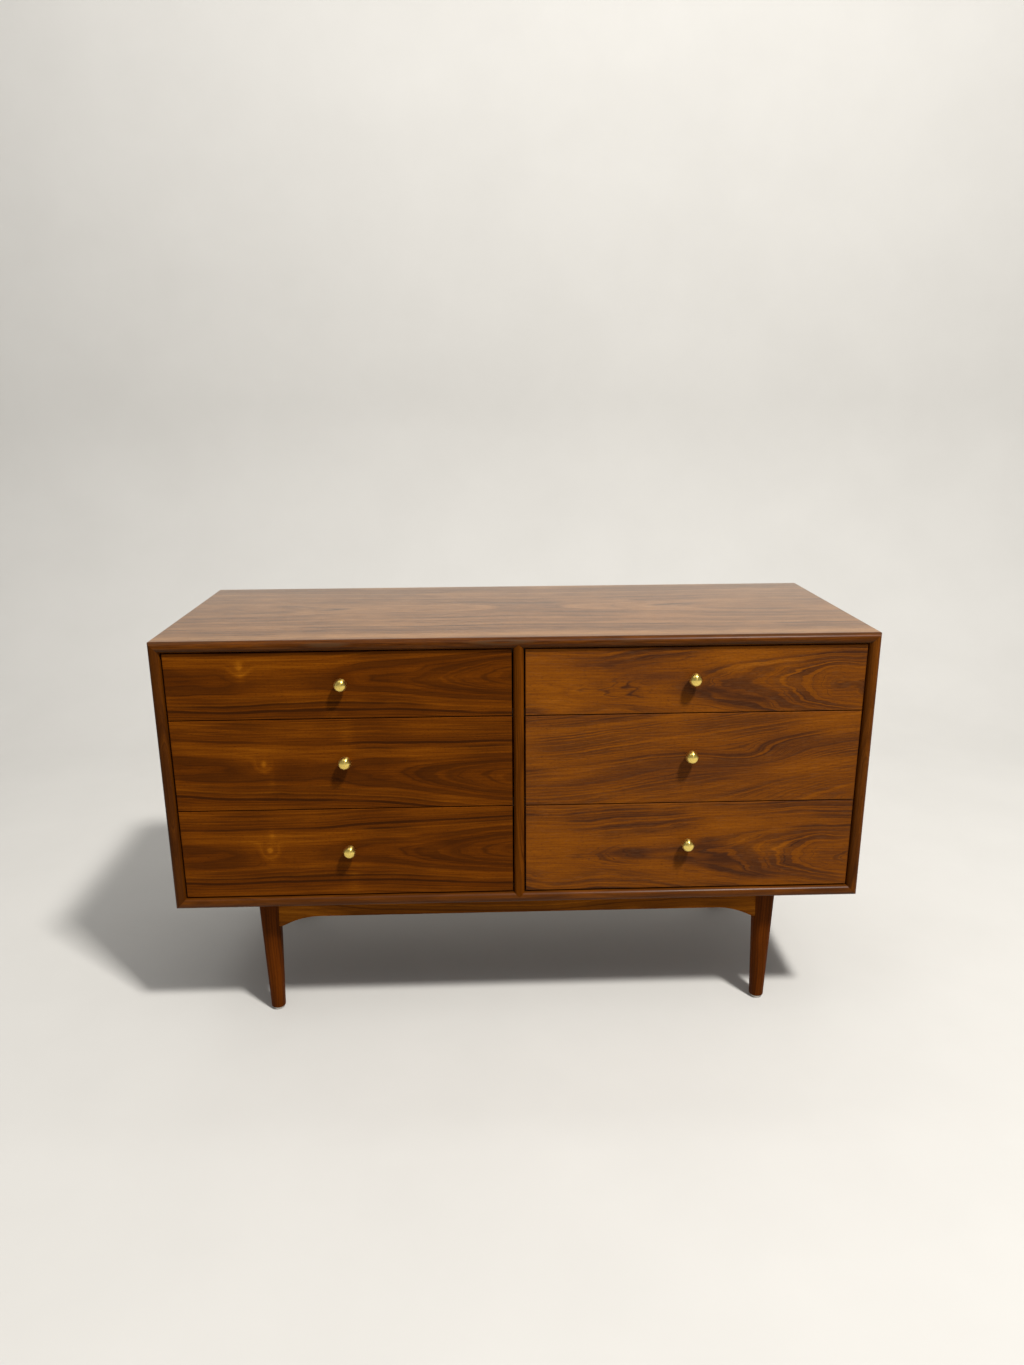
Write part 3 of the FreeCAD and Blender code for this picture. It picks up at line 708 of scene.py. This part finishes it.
BOARD_POINTS = {
    "top_panel": lambda a, i, d: (-half_width + a, front_plane + d, case_top - i),
    "bottom_panel": lambda a, i, d: (-half_width + a, front_plane + d, case_bottom + i),
    "left_side_panel": lambda a, i, d: (-half_width + i, front_plane + d, case_bottom + a),
    "right_side_panel": lambda a, i, d: (half_width - i, front_plane + d, case_bottom + a),
}
NOTCHES = {"top_panel": (opening_high, 1), "bottom_panel": (opening_low, -1)}
boards = {}
for name, place in BOARD_POINTS.items():
    length = 2 * half_width if name in NOTCHES else case_top - case_bottom
    builder = mitred_board(length, place)
    if name in NOTCHES:
        blank = finish_mesh(name + "_blank", builder)
        builder = trim(blank, notch_block(*NOTCHES[name]), "DIFFERENCE")
    boards[name] = finish_mesh(name + "_walnut", builder)
print("case boards:", {name: len(piece.data.polygons) for name, piece in boards.items()})

# %% [markdown]
# The divider itself is a stick with the same rounded edge as the boards, and a pointed tip is
# joined to each end. A tip is a hair narrower than the stick, because a union is cleaner when no
# two faces lie in one plane, and its back edge is split in the middle to keep both slopes flat.

# %% Shape the divider
tip_width = 0.9999
tip_overlap = 0.002


def divider_stick():
    depth_behind = back_box[0].y - front_plane
    section = nose_points(divider) + [(divider, depth_behind), (0.0, depth_behind)]
    rings = [[Vector((inward - divider / 2, front_plane + depth, z)) for inward, depth in section]
             for z in (opening_low, opening_high)]
    builder = bmesh.new()
    skin_solid(builder, rings)
    return finish_mesh("divider_blank", builder)


def divider_tip(level, direction):
    """The pointed end of the divider: its nose, sloping up to the middle."""
    half = divider / 2
    section = nose_points(divider) + [(divider, vee_run), (half, vee_run), (0.0, vee_run)]
    low, high = [], []
    for inward, depth in section:
        x = inward - half
        slope = direction * vee_reach * (1 - abs(x) / half)
        low.append(Vector((x * tip_width, front_plane + depth, level - direction * tip_overlap)))
        high.append(Vector((x * tip_width, front_plane + depth, level + slope)))
    builder = bmesh.new()
    made_low, made_high = skin_sides(builder, (low, high))
    builder.faces.new(made_low[::-1])
    nose_middle = nose_steps // 2
    builder.faces.new(made_high[:nose_middle + 1] + made_high[-2:])
    builder.faces.new(made_high[nose_middle:-1])
    return finish_mesh("divider_tip", builder)


builder = trim(divider_stick(), divider_tip(opening_high, 1), "UNION")
stick = finish_mesh("divider_blank", builder)
builder = trim(stick, divider_tip(opening_low, -1), "UNION")
boards["centre_divider"] = finish_mesh("centre_divider_walnut", builder)
print("divider:", len(boards["centre_divider"].data.polygons), "faces")

# %% [markdown]
# The boards get their grain from where they lie in the case. On the top it runs from side to
# side, on the sides up and down, as if one long sheet had been folded over the corners. The top
# has long fine fibres and bold lines, and a satin coat that mirrors the pale wall; the solid
# front edges of top and sides are darker and duller.

# %% Finish the case boards
top_cut = dict(PLAIN_CUT, seed=4.2, heart=0.03, depth=0.11, streak_mix=0.45, ring_mix=0.5,
               fibre_mix=1.2, fibre_rate=20.0, bold_mix=0.9, line_mix=0.5, ripple=0.005,
               sway=0.02, patch_mix=0.12)
bottom_cut = dict(PLAIN_CUT, seed=9.4, heart=-0.12)
divider_cut = dict(PLAIN_CUT, seed=20.8, heart=0.09)
middle_height = (case_top + case_bottom) / 2
board_finishes = {
    "top_panel": walnut(
        "walnut_top", LYING_FLAT, (0, 0, case_top), top_cut, SHEEN_PAINTED_TOP_TONES,
        roughness=0.4, coat=0.9, lipping_tones=EDGE_TONES, lipping_coat=0.10),
    "bottom_panel": walnut(
        "walnut_bottom", LYING_FLAT, (0, 0, case_bottom), bottom_cut, EDGE_TONES,
        roughness=0.4, coat=0.16),
    "centre_divider": walnut(
        "walnut_divider", STANDING_FRONT, (0, front_plane, case_bottom), divider_cut,
        DIVIDER_TONES, roughness=0.4, coat=0.0),
}
for side, x, seed in (("left", -half_width, 12.6), ("right", half_width, 15.1)):
    name = side + "_side_panel"
    side_cut = dict(PLAIN_CUT, seed=seed, heart=0.02)
    board_finishes[name] = walnut(
        "walnut_" + name, STANDING_SIDE, (x, 0, middle_height), side_cut, CALM_TONES,
        roughness=0.4, coat=0.3, lipping_tones=EDGE_TONES)
for name, material in board_finishes.items():
    dress(boards[name], material, "case", name)
print("boards finished:", sorted(board_finishes))

# %% [markdown]
# ## The drawer fronts
#
# The fronts of a column are slices from one block of veneer, so they share a log and differ only
# in their small shifts. The solids already have the sockets of their dovetails and eased edges,
# so they stay, and only the finish is new. Measures are from the middle of each front. A knot is
# (along, across, length, height, how far it pushes the rings), and a glow ends in how much paler
# or darker it is: a pale glow is a painted sheen of light, a dark one dark figure. On the left
# each front has a small knot with a painted pale sheen by it; on the right dark flames follow the
# arches.

# %% Figure of the six fronts
LEFT_CUT = dict(PLAIN_CUT, pinch=-0.03, pinch_size=0.03, spread=0.034, lean=0.8, depth=0.056,
                sway=0.025, rise=0.010, ripple=0.009, streak_rate=32.0, ring_rate=240.0,
                line_rate=250.0, streak_mix=0.36, ring_mix=0.38, fibre_mix=0.55, line_mix=0.48,
                bold_mix=0.45)
RIGHT_CUT = dict(PLAIN_CUT, pinch=-0.10, pinch_size=0.09, spread=0.074, lean=0.75, depth=0.092,
                 sway=0.06, rise=0.03, ripple=0.018, streak_rate=26.0, ring_rate=200.0,
                 line_rate=190.0, streak_mix=0.30, ring_mix=0.36, fibre_mix=0.58, line_mix=0.75,
                 bold_mix=0.7, relief=0.6, glint_mix=0.06)
FIGURES = {
    "left_top": dict(
        LEFT_CUT, heart=0.012, seed=31.00,
        knots=((-0.178, 0.030, 0.018, 0.014, 0.010),),
        sheen_and_flames=((-0.176, 0.028, 0.007, 0.018, 0.13), (-0.018, -0.046, 0.014, 0.020, 0.10)),
    ),
    "left_middle": dict(
        LEFT_CUT, heart=-0.016, tilt=-0.05, seed=31.03,
        knots=((-0.147, 0.0, 0.016, 0.014, 0.012),),
        sheen_and_flames=((-0.146, 0.0, 0.006, 0.014, 0.14), (-0.134, -0.025, 0.006, 0.018, 0.10),
               (0.008, 0.060, 0.013, 0.030, 0.09), (-0.095, -0.008, 0.045, 0.025, -0.16)),
    ),
    "left_bottom": dict(
        LEFT_CUT, heart=-0.002, seed=31.06,
        knots=((-0.148, 0.004, 0.018, 0.016, 0.012),),
        sheen_and_flames=((-0.148, 0.006, 0.007, 0.012, 0.14), (-0.142, 0.032, 0.006, 0.020, 0.10),
               (0.008, -0.055, 0.013, 0.032, 0.10), (0.200, 0.012, 0.030, 0.012, -0.15)),
    ),
    "right_top": dict(
        RIGHT_CUT, heart=-0.010, tilt=-0.05, seed=52.00,
        knots=((0.255, -0.006, 0.032, 0.036, -0.009),),
        sheen_and_flames=((-0.160, 0.030, 0.085, 0.010, -0.24), (-0.075, 0.008, 0.070, 0.011, -0.26),
               (0.040, -0.020, 0.075, 0.008, -0.22), (0.115, -0.036, 0.060, 0.008, -0.20),
               (0.130, 0.026, 0.080, 0.020, 0.12), (-0.240, -0.030, 0.050, 0.022, 0.12)),
    ),
    "right_middle": dict(
        RIGHT_CUT, heart=-0.120, tilt=0.11, spread=0.06, depth=0.080, sway=0.02, ripple=0.014,
        seed=57.00,
        knots=((0.110, 0.002, 0.085, 0.024, 0.020),),
        sheen_and_flames=((0.020, -0.030, 0.120, 0.022, -0.12), (-0.180, 0.040, 0.070, 0.020, 0.10)),
    ),
    "right_bottom": dict(
        RIGHT_CUT, heart=-0.020, tilt=-0.06, seed=52.06,
        knots=((-0.090, -0.012, 0.080, 0.016, -0.008), (0.250, -0.010, 0.030, 0.034, -0.006)),
        sheen_and_flames=((0.010, -0.002, 0.085, 0.009, -0.22), (0.075, -0.032, 0.075, 0.010, -0.22),
               (0.150, -0.064, 0.060, 0.011, -0.20), (-0.110, -0.012, 0.075, 0.009, -0.18),
               (0.120, -0.006, 0.070, 0.014, 0.14)),
    ),
}
for place, cut in FIGURES.items():
    low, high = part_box(place + "_drawer_front")
    middle = ((low.x + high.x) / 2, low.y, (low.z + high.z) / 2)
    # The right column's tones carry a painted sheen of light as well as its redder log.
    tones = CALM_TONES if place.startswith("left") else LIVELY_LOG_AND_SHEEN_TONES
    material = walnut("walnut_" + place, LYING_FRONT, middle, cut, tones, coat=0.0)
    coat_mesh(nodes[place + "_drawer_front"], material)
print("fronts finished:", len(FIGURES))

# %% [markdown]
# ## Inside: plain wood, plywood and screws
#
# Drawer boxes are bare, planed hardwood, pale and dry beside the oiled walnut. The rails and
# runners are stained dark, so they don't show in the gaps. The back and the drawer bottoms are
# plywood. None of it has a coat, so these finishes are rough all over. The solids of the frame
# already have their dovetails and grooves, so they stay and only get a finish.


# %% Bare hardwood and plywood
def bare_wood(name, grain, pale, dark, seed):
    """Planed hardwood without oil or lacquer."""
    finish = Finish(name)
    spot = finish.spot(grain)
    _, across, into = spot
    warp = finish.grain_noise(spot, (2.0, 6.0), (seed, 0.0, 0.0), 2.0, 0.5)
    ring_place = across + warp * 0.09 + into * 0.6
    rings = finish.noise_along(ring_place, 120.0, seed, 4.0, 0.65)
    fibres = finish.grain_noise(spot, (12.0, 500.0), NO_SHIFT, 3.0, 0.65)
    colour = finish.blend(finish.smooth_step(rings * 0.5 + fibres * 0.5, 0.2, 0.8), dark, pale)
    normal = finish.bump(fibres * 0.6 + rings * 0.4, 0.3, 0.0003)
    return finish.surface(Base_Color=colour, Roughness=0.62 + fibres * 0.12, Normal=normal)


PALE_WOOD = (0.52, 0.36, 0.19)
PALE_RINGS = (0.36, 0.225, 0.105)
STAINED_WOOD = (0.150, 0.070, 0.030)
STAINED_RINGS = (0.085, 0.038, 0.016)
PLY_FACE = (0.40, 0.255, 0.135)
PLY_RINGS = (0.27, 0.155, 0.075)
sides_wood = bare_wood("hardwood_sides", FRONT_TO_BACK, PALE_WOOD, PALE_RINGS, 2.0)
backs_wood = bare_wood("hardwood_backs", LYING_FRONT, PALE_WOOD, PALE_RINGS, 5.0)
runner_wood = bare_wood("hardwood_runners", FRONT_TO_BACK, STAINED_WOOD, STAINED_RINGS, 8.0)
rail_wood = bare_wood("hardwood_rails", LYING_FLAT, STAINED_WOOD, STAINED_RINGS, 11.0)
bottom_ply = bare_wood("plywood_bottoms", FRONT_TO_BACK_FLAT, PALE_WOOD, PLY_FACE, 14.0)
back_ply = bare_wood("plywood_back", LYING_FRONT, PLY_FACE, PLY_RINGS, 17.0)

# %% [markdown]
# The screws are steel with a thin coat of zinc, which is cloudy grey where it has aged. Every
# kept solid then finds its finish by the end of its name.


# %% Zinc-plated steel
def zinc_steel():
    finish = Finish("zinc_steel")
    cloud = finish.noise(finish.place(), 900.0, 3.0, 0.6)
    colour = finish.blend(cloud, (0.42, 0.41, 0.38), (0.66, 0.66, 0.65))
    return finish.surface(Base_Color=colour, Metallic=1.0, Roughness=0.32 + cloud * 0.2,
                          Normal=finish.bump(cloud, 0.2, 0.0001))


# %% Give the kept solids their finishes
steel = zinc_steel()
FINISH_BY_ENDING = {
    "_side": sides_wood,
    "_drawer_back": backs_wood,
    "_drawer_bottom": bottom_ply,
    "_screw": steel,
    "_screws": steel,
    "drawer_rails": rail_wood,
    "drawer_runners": runner_wood,
    "back_panel": back_ply,
}
for ending, material in FINISH_BY_ENDING.items():
    matching = [name for name in nodes if name.endswith(ending)]
    for name in matching:
        coat_mesh(nodes[name], material)
    print(material.name, "on", len(matching), "nodes")

# %% [markdown]
# ## The base
#
# A leg starts under the case as a square with rounded corners and tapers to a foot that is nearly
# round. A lathe cannot make that, so the leg is stacked up from sections of one kind, whose side
# and corner both change with height, and skinned. Its grain runs lengthwise, from a heart that
# lies outside the leg, so the lines run down it and drift slowly off to one side.

# %% Shape the legs
foot_side = 0.028
foot_corner = 0.013
top_corner = 0.008
foot_ease = 0.0015
ease_steps = 5
corner_steps = 8
taper_steps = 8


def rounded_square(axis, side, corner, height):
    """Points round a leg at one height."""
    flat = side / 2 - corner
    points = []
    for quarter in range(4):
        middle = Matrix.Rotation(math.pi / 2 * quarter, 3, "Z") @ Vector((flat, flat, 0))
        for step in range(corner_steps + 1):
            angle = math.pi / 2 * (quarter + step / corner_steps)
            rim = Vector((math.cos(angle), math.sin(angle), 0)) * corner
            points.append(axis + middle + rim + Vector((0, 0, height)))
    return points


def leg_rings(axis, foot_level, top_level, top_side):
    """Sections from the eased rim of the foot up to the case."""
    taper_start = foot_level + foot_ease
    rings = []
    for step in range(ease_steps):
        angle = math.pi / 2 * step / ease_steps
        inset = foot_ease * (1 - math.sin(angle))
        rings.append(rounded_square(axis, foot_side - 2 * inset, foot_corner - inset,
                                    taper_start - foot_ease * math.cos(angle)))
    for step in range(taper_steps + 1):
        share = step / taper_steps
        rings.append(rounded_square(axis, foot_side + (top_side - foot_side) * share,
                                    foot_corner + (top_corner - foot_corner) * share,
                                    taper_start + (top_level - taper_start) * share))
    return rings


for place in ("front_left", "front_right", "back_left", "back_right"):
    name = place + "_leg"
    low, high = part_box(name)
    top_side = high.x - low.x
    axis = Vector(((low.x + high.x) / 2, (low.y + high.y) / 2, 0))
    builder = bmesh.new()
    skin_solid(builder, leg_rings(axis, low.z, high.z, top_side))
    leg = finish_mesh(name + "_walnut", builder)
    leg_cut = dict(PLAIN_CUT, seed=60.0 + axis.x + 3 * axis.y, heart=0.03, depth=0.05, spread=0.0,
                   ripple=0.004, ring_rate=260.0, streak_rate=60.0)
    material = walnut("walnut_" + name, STANDING_FRONT, (0, 0, 0), leg_cut, BASE_TONES, coat=0.0)
    dress(leg, material, "case", name)
print("legs taper from", round(top_side, 4), "to", foot_side)

# %% [markdown]
# The lower edge of an apron is straight along the middle and falls in a short arc at each leg.
# The arc leaves the straight edge without a corner, so its radius follows from how far it runs
# and how far it falls. A bevel then rounds only the edges that were sawn. The apron ends inside
# the leg, a little before its axis.

# %% Saw the aprons
apron_height = 0.047
bracket_run = 0.075
leg_reach = 0.024
gap_to_axis = 0.006
apron_ease = 0.002
apron_ease_steps = 4
bracket_steps = 14


def apron_edge(half_span, end_height):
    """(along, height below the case) points of the sawn lower edge between two leg axes."""
    drop = end_height - apron_height
    radius = (bracket_run ** 2 + drop ** 2) / (2 * drop)
    straight = half_span - leg_reach - bracket_run
    curve = []
    for step in range(bracket_steps + 1):
        run = bracket_run * step / bracket_steps
        curve.append((straight + run, -apron_height - radius + math.sqrt(radius ** 2 - run ** 2)))
    curve.append((half_span - gap_to_axis, -end_height))
    return [(-along, height) for along, height in reversed(curve)] + curve


def apron_piece(name, half_span, end_height, thickness, place):
    """An apron with eased lower edges; place(along, across, height) gives a point of the base."""
    edge = apron_edge(half_span, end_height)
    outline = edge + [(half_span - gap_to_axis, 0.0), (gap_to_axis - half_span, 0.0)]
    builder = bmesh.new()
    made = skin_solid(builder, [[place(along, across, height) for along, height in outline]
                                for across in (0.0, thickness)])
    eased = []
    for ring in made:
        sawn = ring[:len(edge)]
        eased += [builder.edges.get(pair) for pair in zip(sawn, sawn[1:])]
    bmesh.ops.bevel(builder, geom=eased, offset=apron_ease, segments=apron_ease_steps,
                    profile=0.5, affect="EDGES")
    return finish_mesh(name, builder)


def leg_axis(place):
    low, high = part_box(place + "_leg")
    return (low.x + high.x) / 2, (low.y + high.y) / 2


leg_x, leg_front_y = leg_axis("front_right")
leg_rear_y = leg_axis("back_right")[1]
middle_y = (leg_front_y + leg_rear_y) / 2
for side in ("front", "back", "left", "right"):
    name = side + "_apron"
    low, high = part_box(name)
    lying = side in ("front", "back")

    def apron_point(along, across, height, low=low, lying=lying):
        if lying:
            return Vector((along, low.y + across, case_bottom + height))
        return Vector((low.x + across, middle_y + along, case_bottom + height))

    half_span = leg_x if lying else (leg_rear_y - leg_front_y) / 2
    thickness = (high.y - low.y) if lying else (high.x - low.x)
    piece = apron_piece(name + "_walnut", half_span, high.z - low.z, thickness, apron_point)
    apron_cut = dict(PLAIN_CUT, seed=70.0 + 3 * low.x + 7 * low.y, heart=0.11, depth=0.06,
                     ripple=0.006, ring_rate=220.0, streak_rate=45.0)
    grain = LYING_FRONT if lying else FRONT_TO_BACK
    # The aprons' paler tones are painted light.
    material = walnut("walnut_" + name, grain, (0, 0, case_bottom), apron_cut, LIGHT_PAINTED_APRON_TONES,
                      coat=0.0)
    dress(piece, material, "case", name)
print("legs and aprons done; leg axes at", round(leg_x, 3))

# %% [markdown]
# Under each leg is a nylon glide, moulded, slightly cloudy and a little scuffed. All
# four are turned from one outline, a disc with a pin, and stay one piece, as in the frame.


# %% Mould the glides
def nylon():
    finish = Finish("white_nylon")
    cloud = finish.noise(finish.place(), 220.0, 3.0, 0.6)
    scuffs = finish.smooth_step(finish.noise(finish.place(), 1400.0, 2.0, 0.7), 0.55, 0.75)
    colour = finish.blend(cloud, (0.70, 0.68, 0.60), (0.82, 0.81, 0.76))
    colour = finish.blend(scuffs * 0.35, colour, (0.42, 0.38, 0.32))
    return finish.surface(Base_Color=colour, Roughness=0.42 + scuffs * 0.3,
                          Normal=finish.bump(cloud * 0.5 - scuffs, 0.2, 0.0002))


pin_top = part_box("foot_glides")[1].z
glide_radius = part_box("foot_glides")[1].x - leg_x
glide_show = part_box("front_right_leg")[0].z
glide_ease = 0.0015
glide_rim = 0.0003
pin_radius = 0.002
glide_outline = [(0.0, 0.0)]
glide_outline += round_points((glide_radius - glide_ease, glide_ease), glide_ease, -90, 0, 5)
glide_outline += [(glide_radius, glide_show - glide_rim), (glide_radius - glide_rim, glide_show),
                  (pin_radius, glide_show), (pin_radius, pin_top), (0.0, pin_top)]
builder = bmesh.new()
for x in (-leg_x, leg_x):
    for y in (leg_front_y, leg_rear_y):
        disc = turned("glide_disc", glide_outline, Vector((x, y, 0)), steps=64)
        disc.data.transform(disc.matrix_world)
        builder.from_mesh(disc.data)
        bpy.data.objects.remove(disc)
glides = finish_mesh("foot_glides_nylon", builder)
dress(glides, nylon(), "case", "foot_glides")
print("glides show", round(1000 * glide_show, 1), "mm under the legs")

# %% [markdown]
# ## The knobs
#
# Each knob is a ball on a short neck, turned in brass and left satin from the lathe. Fine rings
# left by the tool stretch every highlight across them, so the ball shows bright fans of light
# instead of round spots. That is anisotropy. The shader's own direction runs round a piece's Z
# axis, so the knob is turned about Z first and then laid down to point at the room.


# %% Satin brass
def satin_brass():
    finish = Finish("satin_brass")
    place = finish.place()
    x, y, z = place.parts()
    off_axis = (x * x + y * y).apply("SQRT")
    tool_marks = finish.noise_along(off_axis + z * 1.7, 2600.0, 4.0, 2.0, 0.6)
    tarnish = finish.smooth_step(finish.noise(place, 260.0, 3.0, 0.6), 0.45, 0.8)
    return finish.surface(
        Base_Color=finish.blend(tarnish * 0.5, (0.82, 0.61, 0.16), (0.50, 0.36, 0.08)),
        Metallic=1.0,
        Roughness=0.25 + tarnish * 0.12,
        Anisotropic=0.85,
        Anisotropic_Rotation=0.25,
        Normal=finish.bump(tool_marks, 0.05, 0.0001),
    )


brass = satin_brass()

# %% [markdown]
# The outline starts where the knob sits on the front: a small foot, a neck that narrows, the ball
# as one long arc, and a slightly flatter face on its end. Where two arcs meet, both the ball and
# the face have to be at the same distance from the axis, and that fixes their angles.

# %% Turn the knobs
ball_radius = 0.012
ball_centre = 0.0145
neck_radius = 0.0042
knob_foot_radius = 0.0052
knob_foot_ease = 0.0003
neck_fillet = 0.0004
face_edge = 0.0085
face_radius = 0.020
ball_steps = 28
face_steps = 12

neck_depth = math.sqrt(ball_radius ** 2 - neck_radius ** 2)
neck_top = ball_centre - neck_depth
ball_start_deg = math.degrees(math.asin(-neck_depth / ball_radius))
ball_end_deg = math.degrees(math.acos(face_edge / ball_radius))
face_start = ball_centre + math.sqrt(ball_radius ** 2 - face_edge ** 2)
face_centre = face_start - math.sqrt(face_radius ** 2 - face_edge ** 2)
face_start_deg = math.degrees(math.acos(face_edge / face_radius))
ball = round_points((0.0, ball_centre), ball_radius, ball_start_deg, ball_end_deg, ball_steps)
face = round_points((0.0, face_centre), face_radius, face_start_deg, 90, face_steps)
knob_outline = [
    (0.0, 0.0), (knob_foot_radius - knob_foot_ease, 0.0), (knob_foot_radius, knob_foot_ease),
    (neck_radius, neck_top / 2), (neck_radius, neck_top - neck_fillet),
    *ball, *face[1:-1], (0.0, face_centre + face_radius),
]
for place in FIGURES:
    name = place + "_drawer_knob"
    low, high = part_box(name)
    seat = Vector(((low.x + high.x) / 2, high.y, (low.z + high.z) / 2))
    knob = turned(place + "_knob_brass", knob_outline, seat, Vector((0, -1, 0)))
    dress(knob, brass, place + "_drawer", name)
print("knobs stand", round((high.y - low.y) * 1000, 1), "mm off the fronts")

# %% [markdown]
# ## A quiet studio
#
# The floor rises behind the dresser into a pale wall without a corner, so nothing but the piece
# itself draws the eye. It is one strip with a quarter circle in it, painted matt.


# %% Floor and backdrop
def studio_paint():
    finish = Finish("studio_paint")
    mottle = finish.noise(finish.place(), 3.0, 4.0, 0.6)
    colour = finish.blend(mottle, (0.50, 0.495, 0.48), (0.55, 0.545, 0.53))
    return finish.surface(Base_Color=colour, Roughness=0.9)


half_stage = 6.0
stage_front = -7.0
curve_start = 1.3
curve_radius = 1.2
curve_steps = 24
wall_height = 6.0
profile = [(stage_front, 0.0), (curve_start, 0.0)]
for step in range(1, curve_steps + 1):
    turn = math.pi / 2 * step / curve_steps
    profile.append((curve_start + curve_radius * math.sin(turn),
                    curve_radius * (1 - math.cos(turn))))
profile.append((curve_start + curve_radius, wall_height))
builder = bmesh.new()
sides = [[builder.verts.new((x, y, z)) for y, z in profile] for x in (-half_stage, half_stage)]
for index in range(len(profile) - 1):
    builder.faces.new((sides[0][index], sides[1][index], sides[1][index + 1],
                       sides[0][index + 1]))
backdrop = finish_mesh("studio_floor", builder, sharp_above_deg=80.0)
backdrop.data.materials.append(studio_paint())

# %% [markdown]
# One soft light stands high at the front right and gives the knobs their shadows. A broad one
# overhead, a wash on the wall and a faint even glow keep the shadows open. The coated top mirrors
# the wall, and its tones are painted paler as well, so it shows much paler than the fronts. The
# plain view transform shows the colours as they are mixed.


# %% Lights
def soft_light(name, place, target, size, power, colour):
    """A rectangular area light that looks at a target."""
    lamp = bpy.data.lights.new(name, "AREA")
    lamp.shape = "RECTANGLE"
    lamp.size, lamp.size_y = size
    lamp.energy = power
    lamp.color = colour
    holder = bpy.data.objects.new(name, lamp)
    scene.collection.objects.link(holder)
    facing = (Vector(target) - Vector(place)).to_track_quat("-Z", "Y").to_matrix().to_4x4()
    holder.matrix_world = Matrix.Translation(place) @ facing
    print(name, "light:", power, "W")


middle = Vector((0.0, front_plane, middle_height))
toward_key = Vector((0.33, -0.42, 0.845))
key_distance = 6.0
key_place = middle + toward_key * key_distance
neutral_white = (1.0, 0.98, 0.95)
soft_light("key", key_place, middle, (0.6, 0.6), 500.0, (1.0, 0.965, 0.91))
soft_light("overhead", (0.0, -1.0, 3.2), (0.0, -0.2, 0.0), (3.4, 2.4), 24.0, neutral_white)
soft_light("wall_wash", (0.0, 0.9, 3.6), (0.0, 2.5, 1.3), (4.5, 0.6), 25.0, neutral_white)

world = bpy.data.worlds.new("room")
world.use_nodes = True
glow = world.node_tree.nodes["Background"].inputs
glow["Color"].default_value = (1.0, 0.99, 0.97, 1.0)
glow["Strength"].default_value = 0.3
scene.world = world
scene.view_settings.view_transform = "Standard"
